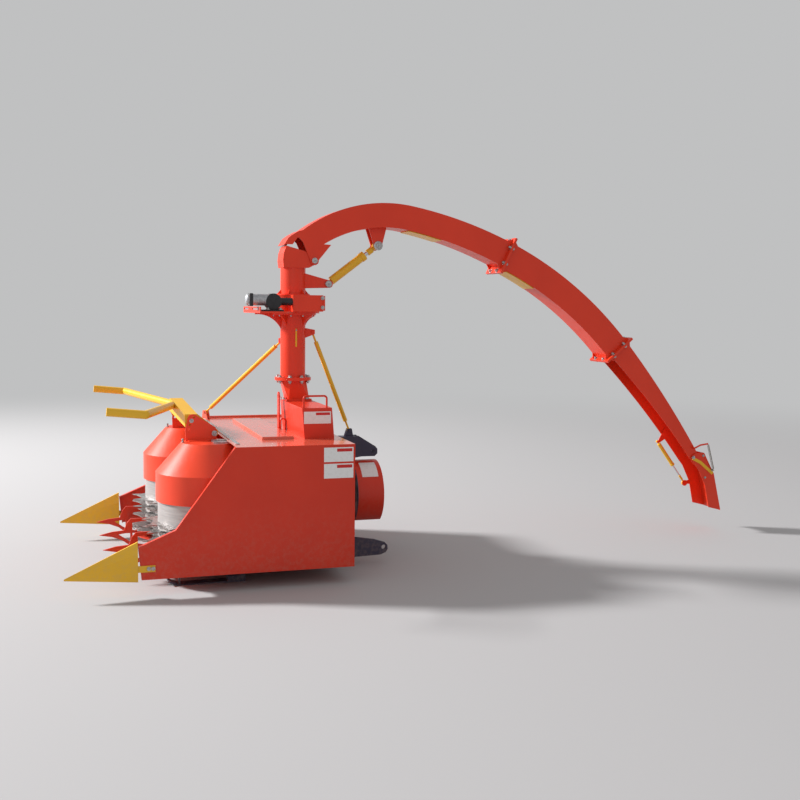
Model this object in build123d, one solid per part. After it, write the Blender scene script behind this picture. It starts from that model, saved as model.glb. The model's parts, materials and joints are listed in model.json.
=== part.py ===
from build123d import *
import os
from math import atan2, cos, degrees, hypot, radians, sin, sqrt, tan

# Mounted two-drum forage harvester with a slewing discharge spout.
# Millimetres. +Z up, the crop enters from -Y, the three-point hitch is at +Y,
# +X is the machine's left. While it is drawn, Y = 0 is the line of the two drum
# axes and Z = 0 is the ground. At the end everything moves along Y, so that the
# origin is at the bottom centre of the whole machine.

# ---- driving dimensions -------------------------------------------------------
# body
SIDE_GAP = 20.0          # from the knife discs to the outer faces of the side panels
PANEL_T = 5.0            # side panel sheet
PANEL_FOLD = 30.0        # stiffening fold along the panel's front edges
BELLY_Z = 100.0          # underside of the body
DECK_Z = 833.0           # top of the deck
DECK_T = 4.0
DECK_Y0 = 98.0           # front edge of the deck
BODY_Y1 = 805.0          # rear face of the body
FLOOR_T = 6.0

# drums
DRUM_R = 299.0
STAR_DEPTH = 96.0        # teeth of the star wheels, out from the drum
STAR_R = DRUM_R + STAR_DEPTH
STAR_TEETH = 12
STAR_T = 5.0
DRUM_Z0 = 190.0
KNIFE_R = STAR_R + 5.0
KNIFE_TEETH = 36
KNIFE_Z = 150.0
KNIFE_GAP = 60.0         # between the two knife discs
DRUM_X = KNIFE_R + KNIFE_GAP / 2     # each drum axis from the centre line
CAP_GAP = 8.0            # between the drum and the cap's skirt
CAP_TOP_R = 160.0
CAP_DROP = 15.0          # top of the caps below the deck
CAP_CONE_H = 172.0
CAP_SKIRT_H = 170.0
CAP_T = 3.0
CAP_R = DRUM_R + CAP_GAP + CAP_T     # lower rim of the fixed cap over each drum
CAP_TOP_Z = DECK_Z - CAP_DROP
CAP_CONE_Z = CAP_TOP_Z - CAP_CONE_H
CAP_SKIRT_Z = CAP_CONE_Z - CAP_SKIRT_H
DRUM_Z1 = CAP_SKIRT_Z + 44.0     # the drum reaches up into its cap

# feed throat
THROAT_HALF = 205.0      # half width of the opening behind the drums
WALL_R = KNIFE_R + 12.0  # the wall that wraps round the back of each drum
WALL_T = 4.0
ROLLER_X = 125.0
ROLLER_Y = 420.0
ROLLER_R = 62.0
ROLLER_RIBS = 10

# chopper
CHOP_R = 320.0
CHOP_Z = 440.0
CHOP_T = 5.0

# discharge tower on the deck
CHUTE_X0 = -90.0
CHUTE_X1 = 560.0
CHUTE_Y0 = 566.0         # at the deck
CHUTE_Y1 = 752.0
CHUTE_LEAN = -15.0       # how far its top lies behind its foot
CHUTE_H = 189.0
CHUTE_T = 4.0
CHUTE_TOP_Z = DECK_Z + CHUTE_H

# mast
MAST_Y = 615.0
MAST_R = 81.0
MAST_T = 5.0
NECK_Y = 640.0           # the neck leans from here back to the mast
NECK_SIDE = 140.0
NECK_FLANGE_T = 14.0
NECK_H = 134.0           # from the tower to the mast's flange
FLANGE_R = 118.0
FLANGE_T = 10.0
MAST_H = 436.0           # fixed mast, from its flange to the slewing platform
SLEW_H = 116.0           # platform and worm ring housing
RING_R = 150.0
UPPER_H = 176.0          # slewing pipe above the ring
NECK_Z1 = CHUTE_TOP_Z + NECK_H
SLEW_Z0 = NECK_Z1 + MAST_H
SLEW_Z1 = SLEW_Z0 + SLEW_H
UPPER_Z1 = SLEW_Z1 + UPPER_H

# spout
SPOUT_W = 195.0          # outside width
SPOUT_T = 3.0
SEAM = 0.2               # a flange lies this far off the curved roof and floor
HINGE_Y = MAST_Y + 120.0         # spout hinge
HINGE_Z = UPPER_Z1 + 46.0
HINGE_PIN_R = 13.0
ROOF_Y0 = HINGE_Y - 116.0        # where the roof line starts
ROOF_Z0 = HINGE_Z + 163.0
ROOF_HEADING = 40.0      # its slope there, degrees
FLANGE_PROUD = 36.0      # how far a spout flange stands out of the walls
SPOUT_FLANGE_T = 8.0
ELBOW_W = SPOUT_W - 17.0
ELBOW_R = 204.0          # folds of the elbow's back, round the spout hinge

# lift cylinder pins
LIFT_Y0, LIFT_Z0 = MAST_Y + 227.0, UPPER_Z1 - 101.0
LIFT_Y1, LIFT_Z1 = HINGE_Y + 443.0, HINGE_Z + 110.0
LIFT_PIN_R = 12.0
LIFT_BARREL_R = 28.0
LIFT_PLAY = 5.5          # the rod eye's bore is this much wider than its pin, radially

# deflector
FLAP_ALONG = -48.2      # its pivot past the end of the roof, along it
FLAP_DEPTH = 46.2      # and below it
FLAP_PIN_R = 6.0
TRIM_X = 0.2 - SPOUT_W / 2      # plane of the deflector cylinder
TRIM_PIN_R = 5.0
TRIM_BARREL_R = 14.0
TRIM_PLAY = 8.2          # the rod eye's bore is this much wider than its pin, radially

# hitch
TOP_LINK_Y, TOP_LINK_Z = BODY_Y1 + 350.0, DECK_Z - 160.0
TOP_LINK_HOLE_R = 12.75  # category 2 upper pin is 25.4 mm
TOP_LINK_GAP = 52.0      # between the two plates
TOP_LINK_T = 16.0
LOW_LINK_X = 430.0
LOW_LINK_Y, LOW_LINK_Z = BODY_Y1 + 308.0, 110.0
LOW_LINK_HOLE_R = 14.6   # category 2 lower pin is 28.7 mm
LOW_LINK_T = 20.0
PTO_Z = 414.0
PTO_R = 17.45            # 34.9 mm shaft
PTO_Y1 = BODY_Y1 + 255.0

# clearances
SEAT = 0.3               # between pieces of different bodies that bear on each other
RUN = 6.0                # between moving pieces that must not touch
BORE_GAP = 0.05          # radial, shaft in bore

HALF_W = DRUM_X + KNIFE_R + SIDE_GAP
NODES = {}


# ---- small helpers --------------------------------------------------------------
def block(x0, x1, y0, y1, z0, z1):
    """Box between two corners."""
    return Pos((x0 + x1) / 2, (y0 + y1) / 2, (z0 + z1) / 2) * Box(x1 - x0, y1 - y0, z1 - z0)


def face_of(points):
    return make_face(Polyline(*points, close=True))


def side_plate(outline, x0, x1):
    """A plate whose outline, in Y and Z, is a face or a list of points, from x0 to x1."""
    face = face_of(outline) if isinstance(outline, list) else outline
    return extrude(Plane.YZ.offset(x0) * face, amount=x1 - x0)


def front_plate(outline, y0, y1):
    """A plate whose outline is in X and Z, from y0 to y1."""
    face = face_of(outline) if isinstance(outline, list) else outline
    return extrude(Plane.XZ.offset(-y0) * face, amount=-(y1 - y0))


def flat_plate(outline, z0, z1):
    """A plate whose outline is in X and Y, from z0 to z1."""
    face = face_of(outline) if isinstance(outline, list) else outline
    return extrude(Pos(0, 0, z0) * face, amount=z1 - z0)


def rod(start, end, radius):
    """Round bar from one point to another."""
    axis = Vector(end) - Vector(start)
    seat = Plane(origin=Vector(start), z_dir=axis)
    return seat * Cylinder(radius, axis.length, align=(Align.CENTER, Align.CENTER, Align.MIN))


def across(y, z, radius, x0, x1):
    """Round bar along X."""
    return rod((x0, y, z), (x1, y, z), radius)


def upright(x, y, radius, z0, z1):
    """Round bar along Z."""
    return Pos(x, y, z0) * Cylinder(radius, z1 - z0, align=(Align.CENTER, Align.CENTER, Align.MIN))


def mirrored(shape):
    return mirror(shape, about=Plane.YZ)


def both(shape):
    return [shape, mirrored(shape)]


def put(name, *shapes):
    """Keep the solids of one node."""
    solids = []
    for shape in shapes:
        parts = shape if isinstance(shape, (list, tuple)) else [shape]
        for part in parts:
            solids += part.solids()
    NODES[name] = solids


def beside(points, gap):
    """The line that runs gap to the left of an open line, with mitred corners."""
    steps = [Vector(*b) - Vector(*a) for a, b in zip(points, points[1:])]
    normals = [Vector(-s.Y, s.X).normalized() for s in steps]
    out = []
    for i, point in enumerate(points):
        before = normals[max(i - 1, 0)]
        after = normals[min(i, len(normals) - 1)]
        mitre = (before + after).normalized()
        reach = mitre * (gap / mitre.dot(after))
        out.append((point[0] + reach.X, point[1] + reach.Y))
    return out


def strip(points, thickness):
    """Bent sheet seen edge on: its left side is thickness away from the line."""
    return points + beside(points, thickness)[::-1]


def frustum(low, high):
    """Solid between two closed rings of points whose matching edges are parallel."""
    faces = [make_face(Polyline(*ring, close=True)) for ring in (low, high)]
    pairs = list(zip(low, high))
    for (a, b), (c, d) in zip(pairs, pairs[1:] + pairs[:1]):
        faces.append(make_face(Polyline(a, c, d, b, close=True)))
    return Solid(Shell(faces))


def polar(y, z, radius, angle):
    """Point at an angle in degrees round a centre."""
    return (y + radius * cos(radians(angle)), z + radius * sin(radians(angle)))


# ---- body ----------------------------------------------------------------------
INNER = HALF_W - PANEL_T
PANEL_FRONT = [(DECK_Y0, DECK_Z), (-239, 373), (-447, 286), (-430, BELLY_Z)]
PAN_Z = BELLY_Z + FLOOR_T
DECK_LOW = DECK_Z - DECK_T
WALL_Y0 = DECK_Y0 + PANEL_T
THROAT_Y0 = sqrt(WALL_R ** 2 - (DRUM_X - THROAT_HALF) ** 2)
CHOP_X = (CHUTE_X0 + CHUTE_X1) / 2


def side_panel():
    """Left side sheet with its front edges folded inwards."""
    sheet = side_plate(PANEL_FRONT + [(BODY_Y1, BELLY_Z), (BODY_Y1, DECK_Z)], INNER, HALF_W)
    fold = side_plate(strip(PANEL_FRONT, PANEL_T), HALF_W - PANEL_FOLD, INNER)
    return sheet + fold


def deck():
    """Top sheet with a stiffening rib along the right side and the hole under the tower."""
    sheet = block(-INNER, INNER, WALL_Y0, BODY_Y1, DECK_LOW, DECK_Z)
    rib = block(-INNER + 20, -INNER + 45, WALL_Y0 + 40, BODY_Y1 - 60, DECK_Z, DECK_Z + 14)
    hole = block(CHUTE_X0 + 10, CHUTE_X1 - 10, CHUTE_Y0 + 10, CHUTE_Y1 - 10, DECK_Z - 10, DECK_Z + 1)
    foot = foot_lugs("front_stay", DECK_Z - 1)
    return sheet + rib + foot - hole


def deck_cover():
    """Low folded tray that closes the service hatch in front of the tower."""
    x0, x1 = CHUTE_X0 - 470, CHUTE_X1 - 20
    y0, y1 = CHUTE_Y0 - 256, CHUTE_Y0 - 62
    tray = block(x0, x1, y0, y1, DECK_Z, DECK_Z + COVER_H)
    tray = chamfer(tray.edges().group_by(Axis.Z)[-1], 3)
    return tray - block(x0 + 3, x1 - 3, y0 + 3, y1 - 3, DECK_Z - 1, DECK_Z + COVER_H - 3)


COVER_H = 18.0


def latch_plate():
    """Upright plate in front of the neck that the raised spout is pinned to."""
    y0, y1 = CHUTE_Y0 - 49, CHUTE_Y0 - 41
    top = DECK_Z + 220
    outline = Polyline((LATCH_HALF, top), (LATCH_HALF, DECK_Z), (-LATCH_HALF, DECK_Z), (-LATCH_HALF, top))
    outline += ThreePointArc((-LATCH_HALF, top), (0, top + LATCH_HALF), (LATCH_HALF, top))
    plate = front_plate(make_face(outline), y0, y1)
    return plate - rod((0, y0 - 1, top), (0, y1 + 1, top), 11)


def latch_bail():
    """Bent bar beside the latch plate, from the deck and back to it."""
    x, z = LATCH_HALF + 20, DECK_Z + 73
    y0, y1 = CHUTE_Y0 - 40, CHUTE_Y0 - 10
    path = FilletPolyline((x, y0, DECK_Z), (x, y0, z), (x, y1, z), (x, y1, DECK_Z), radius=12)
    return sweep(Plane(origin=(x, y0, DECK_Z), z_dir=(0, 0, 1)) * Circle(5), path=path)


LATCH_HALF = 26.0


def rear_wall():
    """Rear sheet between the panels, with a window for the drive."""
    sheet = block(-INNER, INNER, BODY_Y1 - WALL_T, BODY_Y1, PAN_Z, DECK_LOW)
    window = block(GEAR_X0 - 10, GEAR_X1 + 10, BODY_Y1 - 20, BODY_Y1 + 20, GEAR_Z0 - 10, GEAR_Z1 + 10)
    return sheet - window


def floor_pan():
    """Bottom sheet, with a round apron under each drum and a tongue for the middle finger."""
    sheet = block(-INNER, INNER, -180, BODY_Y1, BELLY_Z, PAN_Z)
    for side in (-1, 1):
        sheet += upright(side * DRUM_X, 0, PAN_R, BELLY_Z, PAN_Z)
    sheet += block(-40, 40, -PAN_R, -180, BELLY_Z, PAN_Z)
    return sheet


PAN_R = KNIFE_R - 28.0   # round apron under each drum


def wrap_wall():
    """Wall behind the drums: an arc round the back of each, and the throat between."""
    ring = upright(DRUM_X, 0, WALL_R + WALL_T, PAN_Z, DECK_LOW) - upright(DRUM_X, 0, WALL_R, 0, DECK_Z)
    arc = ring & block(THROAT_HALF, INNER, WALL_Y0 + WALL_T, 600, PAN_Z, DECK_LOW)
    reach = DRUM_X + sqrt(WALL_R ** 2 - (WALL_Y0 + WALL_T) ** 2)
    wing = block(reach, INNER, WALL_Y0, WALL_Y0 + WALL_T, PAN_Z, DECK_LOW)
    wing += block(reach, reach + 2 * WALL_T, WALL_Y0, WALL_Y0 + 2 * WALL_T, PAN_Z, DECK_LOW)
    cheek = block(THROAT_HALF - WALL_T, THROAT_HALF, THROAT_Y0, CHUTE_Y0, PAN_Z, DECK_LOW)
    left = arc + wing + cheek
    inner = THROAT_HALF - WALL_T
    lintel = block(-inner, inner, THROAT_Y0, CHUTE_Y0, THROAT_Z1, THROAT_Z1 + WALL_T)
    brow = block(-inner, inner, THROAT_Y0, THROAT_Y0 + WALL_T, THROAT_Z1 + WALL_T, DECK_LOW)
    return left + mirrored(left) + lintel + brow


THROAT_Z1 = 560.0        # roof of the feed throat


# ---- chopper and drive -----------------------------------------------------------
def chopper_outline(gap):
    """U-shaped section of the chopper housing, drawn gap inside its outer face."""
    r = CHOP_R - gap
    x0, x1 = CHOP_X - r, CHOP_X + r
    low = ThreePointArc((x0, CHOP_Z), (CHOP_X, CHOP_Z - r), (x1, CHOP_Z))
    top = Polyline((x1, CHOP_Z), (x1, DECK_LOW), (x0, DECK_LOW), (x0, CHOP_Z))
    return make_face(low + top)


def chopper_housing():
    """Round-bottomed housing of the chopping flywheel, open to the throat and up to the tower."""
    shell = front_plate(chopper_outline(0), CHUTE_Y0, CHUTE_Y1)
    shell -= front_plate(chopper_outline(CHOP_T), CHUTE_Y0 + CHOP_T, CHUTE_Y1 - CHOP_T)
    mouth = block(CHOP_X - CHOP_R + 25, THROAT_HALF - 45, CHUTE_Y0 - 1, CHUTE_Y0 + CHOP_T + 1,
                  PAN_Z + 90, THROAT_Z1 - 30)
    return shell - mouth


GEAR_X0, GEAR_X1 = -120.0, 300.0
GEAR_Z0, GEAR_Z1 = 300.0, 540.0
GEAR_Y1 = BODY_Y1 + 100.0


def flywheel():
    """The heavy chopping disc, a closed inner mass, on a stub that the housing carries."""
    disc = rod((CHOP_X, CHUTE_Y0 + 70, CHOP_Z), (CHOP_X, CHUTE_Y0 + 110, CHOP_Z), CHOP_R - 22)
    stub = rod((CHOP_X, CHUTE_Y0 + 110, CHOP_Z), (CHOP_X, CHUTE_Y1 - CHOP_T, CHOP_Z), 60)
    return disc + stub


def gearbox():
    """Drive gearbox behind the chopper, with the bearing neck of the input shaft."""
    case = block(GEAR_X0, GEAR_X1, CHUTE_Y1, GEAR_Y1, GEAR_Z0, GEAR_Z1)
    case = fillet(case.edges().filter_by(Axis.Y), 40)
    neck = rod((0, GEAR_Y1, PTO_Z), (0, GEAR_Y1 + 55, PTO_Z), 62)
    bore = rod((0, GEAR_Y1 - 60, PTO_Z), (0, GEAR_Y1 + 60, PTO_Z), PTO_R + 6 + BORE_GAP)
    return case + neck - bore


def pto_shaft():
    """Input shaft that the tractor's drive line slides onto, plain where the real one has splines."""
    journal = rod((0, GEAR_Y1 - 59.5, PTO_Z), (0, GEAR_Y1 + 60, PTO_Z), PTO_R + 6)
    stub = rod((0, GEAR_Y1 + 60, PTO_Z), (0, PTO_Y1, PTO_Z), PTO_R)
    return journal + stub


def guard_section(radius):
    """Round outline of the guard with the open chord below."""
    disc = Pos(0, GUARD_Z) * Circle(radius)
    return disc - Pos(0, GUARD_Z - GUARD_CUT - GUARD_R) * Rectangle(3 * GUARD_R, 2 * GUARD_R)


def pto_guard():
    """Round shield about the input shaft, open below."""
    return front_plate(guard_section(GUARD_R) - guard_section(GUARD_R - 3), GUARD_Y0, GUARD_Y1)


def guard_plate():
    """Plate that carries the shield, on four distance pieces from the gearbox."""
    plate = front_plate(guard_section(GUARD_R), GUARD_Y0 - 4, GUARD_Y0)
    plate -= rod((0, GUARD_Y0 - 9, PTO_Z), (0, GUARD_Y0 + 4, PTO_Z), 66)
    for side in (-1, 1):
        for z in (PTO_Z - 60, PTO_Z + 80):
            plate += rod((side * 80, GEAR_Y1, z), (side * 80, GUARD_Y0 - 4, z), 9)
    return plate


GUARD_R = 212.0
GUARD_Z = PTO_Z - 14.0
GUARD_Y0 = GEAR_Y1 + 105.0
GUARD_Y1 = GUARD_Y0 + 175.0
GUARD_CUT = 175.0        # the open chord below the guard's axis

# ---- underframe and hitch ----------------------------------------------------------
RAIL_X = 390.0
RAIL_W = 60.0
FRAME_Z = 40.0           # underside of the rails
SKID_X = 600.0


def base_frame():
    """Two box rails under the floor with cross tubes; the rear one is the parking foot."""
    x0, x1 = RAIL_X - RAIL_W / 2, RAIL_X + RAIL_W / 2
    rail = block(x0, x1, -150, BODY_Y1, FRAME_Z, BELLY_Z)
    outer = block(x1, SKID_X - 40, 95, 155, FRAME_Z, BELLY_Z)
    tube = block(-x0, x0, 95, 155, FRAME_Z, BELLY_Z)
    foot = block(-x0 - 15, x0 + 15, 700, 780, 0, FRAME_Z)
    return [rail, mirrored(rail), outer, mirrored(outer), tube, foot]


def skid():
    """Runner under the front of the body: a turned-up strip on a block."""
    line = [(-262, 32), (-205, 8), (190, 8)]
    runner = side_plate(strip(line[::-1], 8), SKID_X - 40, SKID_X + 40)
    shoe = block(SKID_X - 40, SKID_X + 40, 160, 190, 8, BELLY_Z)
    front = block(SKID_X - 30, SKID_X + 30, -200, -192, 8, BELLY_Z)
    middle = block(SKID_X - 40, SKID_X + 40, 85, 160, 8, 40)
    return runner + shoe + front + middle


def lower_link_plate():
    """Plate for the tractor's lower link, welded to the rail."""
    y, z = LOW_LINK_Y, LOW_LINK_Z
    outline = [(y - 473, z - 63), (y - 21, z - 48), (y + 15, z - 34), (y + 27, z - 14), (y + 25, z + 12),
               (y + 5, z + 32), (y - 62, z + 53), (y - 188, z + 73), (BODY_Y1, z + 80), (BODY_Y1, BELLY_Z),
               (y - 473, BELLY_Z)]
    x0 = LOW_LINK_X - LOW_LINK_T / 2
    plate = side_plate(outline, x0, x0 + LOW_LINK_T)
    return plate - across(y, z, LOW_LINK_HOLE_R, x0 - 1, x0 + LOW_LINK_T + 1)


def top_link_plate():
    """Plate for the tractor's top link, on the rear wall."""
    y, z = TOP_LINK_Y, TOP_LINK_Z
    outline = [(BODY_Y1, z + 102), (y - 169, z + 102), (y - 100, z + 106), (y + 17, z + 33), (y + 31, z + 15),
               (y + 31, z - 15), (y + 13, z - 33), (y - 79, z - 33), (BODY_Y1, z - 73)]
    x0 = TOP_LINK_GAP / 2
    plate = side_plate(outline, x0, x0 + TOP_LINK_T)
    return plate - across(y, z, TOP_LINK_HOLE_R, x0 - 1, x0 + TOP_LINK_T + 1)


def top_link_bracket():
    """The two top-link plates with the cross plate that joins them and carries the stay."""
    y, z = TOP_LINK_Y, TOP_LINK_Z
    tie = block(-TOP_LINK_GAP / 2, TOP_LINK_GAP / 2, y - 215, y - 115, z + 90, z + 102)
    pad = block(-100, 100, BODY_Y1, BODY_Y1 + 8, z - 73, z + 117)
    plate = top_link_plate()
    plates = plate + mirrored(plate)
    return plates + tie + pad + foot_lugs("rear_stay", z + 101)


# ---- front ---------------------------------------------------------------------------
def divider():
    """Left crop divider: a folded point over the panel's front, with its bolted strap."""
    def ring(y, scale, gap):
        h, t = (DIV_HALF - gap) * scale, (DIV_HALF * 0.3 - gap * 0.5) * scale
        heights = (DIV_BOTTOM + gap, DIV_CREASE, DIV_TOP - gap)
        low, crease, top = [DIV_Z0 + (z - DIV_Z0) * scale for z in heights]
        return [(DIV_X - h, y, low), (DIV_X + h, y, low), (DIV_X + h, y, crease), (DIV_X + t, y, top),
                (DIV_X - t, y, top), (DIV_X - h, y, crease)]
    shell = frustum(ring(DIV_Y1, 1, 0), ring(DIV_Y0, 0.04, 0))
    hollow = frustum(ring(DIV_Y1 + 1, 1, 3), ring(DIV_Y0 + 60, 0.16, 3))
    strap = block(HALF_W, HALF_W + 6, DIV_Y1 - 60, DIV_Y1 + 95, 145, 182)
    return shell - hollow + strap


DIV_X = HALF_W - 18.0
DIV_HALF = 29.0
DIV_Y0 = -847.0
DIV_Y1 = -450.0
DIV_Z0 = 120.0           # height of the tip
DIV_BOTTOM = 92.0
DIV_CREASE = 250.0
DIV_TOP = 316.0

FINGER_X = (-DRUM_X, 0.0, DRUM_X)
FINGER_T = 12.0
FINGER_GAP = 23.0        # from the prong's tip to the drum


def finger(x):
    """Crop guide: spear nose, brace over the knives and a hooked prong between the stars."""
    y = -DRUM_R - FINGER_GAP
    nose = [(y - 298, 190), (y - 218, 175), (y - 156, 150), (y - 118, 120), (y - 108, PAN_Z), (y - 28, PAN_Z),
            (y - 28, 118), (y - 96, 132), (y - 96, 262), (y - 8, 272), (y, 280), (y - 8, 288), (y - 106, 288),
            (y - 130, 262), (y - 148, 214), (y - 223, 208)]
    plate = side_plate(nose, x - FINGER_T / 2, x + FINGER_T / 2)
    window = side_plate([(y - 183, 190), (y - 110, 200), (y - 110, 140)], x - FINGER_T, x + FINGER_T)
    foot = block(x - 30, x + 30, -PAN_R + 2, y - 18, PAN_Z, PAN_Z + 8)
    return plate - window + foot


def drum_cap():
    """Fixed hood over the left drum."""
    outer = upright(DRUM_X, 0, CAP_R, CAP_SKIRT_Z, CAP_CONE_Z)
    outer += Pos(DRUM_X, 0, CAP_CONE_Z) * Cone(CAP_R, CAP_TOP_R, CAP_CONE_H,
                                               align=(Align.CENTER, Align.CENTER, Align.MIN))
    r = CAP_R - CAP_T
    inner = upright(DRUM_X, 0, r, CAP_SKIRT_Z - 1, CAP_CONE_Z)
    inner += Pos(DRUM_X, 0, CAP_CONE_Z) * Cone(r, CAP_TOP_R - CAP_T, CAP_CONE_H - CAP_T,
                                               align=(Align.CENTER, Align.CENTER, Align.MIN))
    return outer - inner


def spindle():
    """Fixed axle that hangs from the cap's top and carries the left drum."""
    return upright(DRUM_X, 0, SPINDLE_R, DRUM_Z1 - 40, CAP_TOP_Z - CAP_T)


SPINDLE_R = 25.0
EAR_X = DRUM_X - 70.0
EAR_T = 8.0
BEND_Y, BEND_Z = 47.0, CAP_TOP_Z + 44.0    # pivot of the crop bender
BEND_PIN_R = 10.0
SET_R = 157.0            # setting holes round the pivot
SET_ANGLES = (140, 150, 160, 170)


def ear():
    """Upright ear on the cap: the bender's pivot at its back, a row of setting holes in front."""
    z = CAP_TOP_Z
    outline = Polyline((-124, z), (-127, z + 70), (-114, z + 124))
    outline += ThreePointArc((-114, z + 124), (-98, z + 157), (-64, z + 157))
    outline += Polyline((-64, z + 157), (56, z + 78), (63, z + 60), (60, z), (-124, z))
    plate = side_plate(make_face(outline), EAR_X, EAR_X + EAR_T)
    plate -= across(BEND_Y, BEND_Z, BEND_PIN_R + BORE_GAP, EAR_X - 1, EAR_X + EAR_T + 1)
    for angle in SET_ANGLES:
        y, z0 = polar(BEND_Y, BEND_Z, SET_R, angle)
        plate -= across(y, z0, 7, EAR_X - 1, EAR_X + EAR_T + 1)
    return plate + block(EAR_X + EAR_T, EAR_X + 42, -110, 55, z, z + 6)


def bender():
    """Two box arms rising to the middle and a long bent bar that leans the crop forward."""
    x1 = EAR_X - RUN - 2
    root = polar(BEND_Y, BEND_Z, SET_R, SET_ANGLES[1])
    top = (BEND_Y - 187, BEND_Z + 146)
    def ring(x, centre, half):
        y, z = centre
        corners = ((-half, -half), (half, -half), (half, half), (-half, half))
        return [(x, y + u, z + v) for u, v in corners]
    arm = frustum(ring(0, top, 40), ring(x1, root, 38))
    y, z = root
    outline = [(BEND_Y + 24, BEND_Z - 12), (BEND_Y + 24, BEND_Z + 16), (BEND_Y + 6, BEND_Z + 32),
               (y + 38, z + 38), (y - 38, z + 38), (y - 38, z - 38),
               (BEND_Y - 12, BEND_Z - 24), (BEND_Y + 10, BEND_Z - 24)]
    lever = side_plate(outline, x1 - 10, x1)
    lever += across(BEND_Y, BEND_Z, BEND_PIN_R, x1 - 10, EAR_X + EAR_T + 12)
    bend = (BAR_X, BAR_Y0, BAR_Z0)
    half = rod((0, top[0] - 10, top[1]), bend, BAR_R) + Pos(*bend) * Sphere(BAR_R)
    half += rod(bend, (BAR_X, BAR_Y1, BAR_Z1), BAR_R)
    left = arm + lever + half
    return left + mirrored(left)


BAR_R = 24.0
BAR_X = 845.0
BAR_Y0, BAR_Z0 = -400.0, CAP_TOP_Z + 212.0
BAR_Y1, BAR_Z1 = -610.0, CAP_TOP_Z + 232.0


def cap_bars():
    """Galvanised flats that hang the left cap from the front edge of the deck."""
    return [block(x - 20, x + 20, 20, 170, CAP_TOP_Z, DECK_LOW) for x in (DRUM_X, DRUM_X + 85)]


def deck_strip():
    """Galvanised strip along the deck's front edge, over the bars."""
    return block(-HALF_W + 130, HALF_W - 130, DECK_Y0 + 22, DECK_Y0 + 46, DECK_Z, DECK_Z + 5)


# ---- drums -----------------------------------------------------------------------------
STAR_LEVELS = (210.0, 255.0, 300.0, 345.0)


def drum():
    """Smooth gathering drum, closed at the top by a plate that turns on the spindle."""
    shell = upright(DRUM_X, 0, DRUM_R, DRUM_Z0, DRUM_Z1)
    shell -= upright(DRUM_X, 0, DRUM_R - 4, DRUM_Z0 - 1, DRUM_Z1 - 8)
    web = upright(DRUM_X, 0, DRUM_R - 4, DRUM_Z0, DRUM_Z0 + 8)
    hub = upright(DRUM_X, 0, 45, KNIFE_Z + STAR_T, DRUM_Z0) + upright(DRUM_X, 0, 45, DRUM_Z1 - 60, DRUM_Z1)
    bore = upright(DRUM_X, 0, SPINDLE_R + BORE_GAP, DRUM_Z1 - 60.5, DRUM_Z1 + 1)
    return shell + web + hub - bore


def toothed_disc():
    """Ring of saw teeth, with its leading edges raked forward."""
    step = 360 / KNIFE_TEETH
    points = []
    for i in range(KNIFE_TEETH):
        a = i * step
        points += [polar(0, 0, KNIFE_ROOT_R, a), polar(0, 0, KNIFE_R, a + step * 0.62),
                   polar(0, 0, KNIFE_R, a + step * 0.74), polar(0, 0, KNIFE_ROOT_R, a + step * 0.84)]
    return face_of(points)


def star():
    """Outline of a star wheel: hooked teeth with a hollow gullet in front of each."""
    step = 360 / STAR_TEETH
    points = []
    for i in range(STAR_TEETH):
        a = i * step
        points += [polar(0, 0, STAR_ROOT_R, a), polar(0, 0, STAR_ROOT_R + 10, a + step * 0.22),
                   polar(0, 0, STAR_ROOT_R + 28, a + step * 0.40), polar(0, 0, STAR_R, a + step * 0.60),
                   polar(0, 0, STAR_ROOT_R + 4, a + step * 0.68),
                   polar(0, 0, STAR_ROOT_R - 9, a + step * 0.86)]
    return face_of(points)


STAR_ROOT_R = DRUM_R + 31.0
KNIFE_ROOT_R = KNIFE_R - 22.0


def star_wheels():
    """Stacked star wheels welded round the drum."""
    ring = star() - Circle(DRUM_R + SEAT)
    return [Pos(DRUM_X, 0, z) * extrude(ring, amount=STAR_T) for z in STAR_LEVELS]


def knife_disc():
    """Toothed cutting disc below the drum, on its own boss above the floor."""
    disc = Pos(DRUM_X, 0, KNIFE_Z) * extrude(toothed_disc() - Circle(20), amount=STAR_T)
    return disc + upright(DRUM_X, 0, 70, PAN_Z + SEAT, KNIFE_Z)


def feed_roller():
    """Upright ribbed roller in the throat."""
    core = upright(ROLLER_X, ROLLER_Y, ROLLER_R - 14, PAN_Z + 14, THROAT_Z1 - 14)
    for i in range(ROLLER_RIBS):
        rib = block(ROLLER_R - 18, ROLLER_R, -3, 3, PAN_Z + 14, THROAT_Z1 - 14)
        core += Pos(ROLLER_X, ROLLER_Y, 0) * Rot(0, 0, i * 360 / ROLLER_RIBS) * rib
    journals = upright(ROLLER_X, ROLLER_Y, 20, PAN_Z + SEAT, THROAT_Z1 - SEAT)
    return core + journals


# ---- tower and mast ------------------------------------------------------------------------
def tower():
    """Box that gathers the chopper's throw into the neck; its walls lean forwards."""
    def prism(gap, floor):
        y0, y1, lean = CHUTE_Y0 + gap, CHUTE_Y1 - gap, CHUTE_LEAN
        outline = [(y0, floor), (y1, floor), (y1 + lean, CHUTE_TOP_Z - gap), (y0 + lean, CHUTE_TOP_Z - gap)]
        return side_plate(outline, CHUTE_X0 + gap, CHUTE_X1 - gap)
    hole = block(-NECK_SIDE / 2 + CHUTE_T, NECK_SIDE / 2 - CHUTE_T, NECK_Y - NECK_SIDE / 2 + CHUTE_T,
                 NECK_Y + NECK_SIDE / 2 - CHUTE_T, CHUTE_TOP_Z - 20, CHUTE_TOP_Z + 1)
    return prism(0, DECK_Z) - prism(CHUTE_T, DECK_Z) - hole


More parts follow.
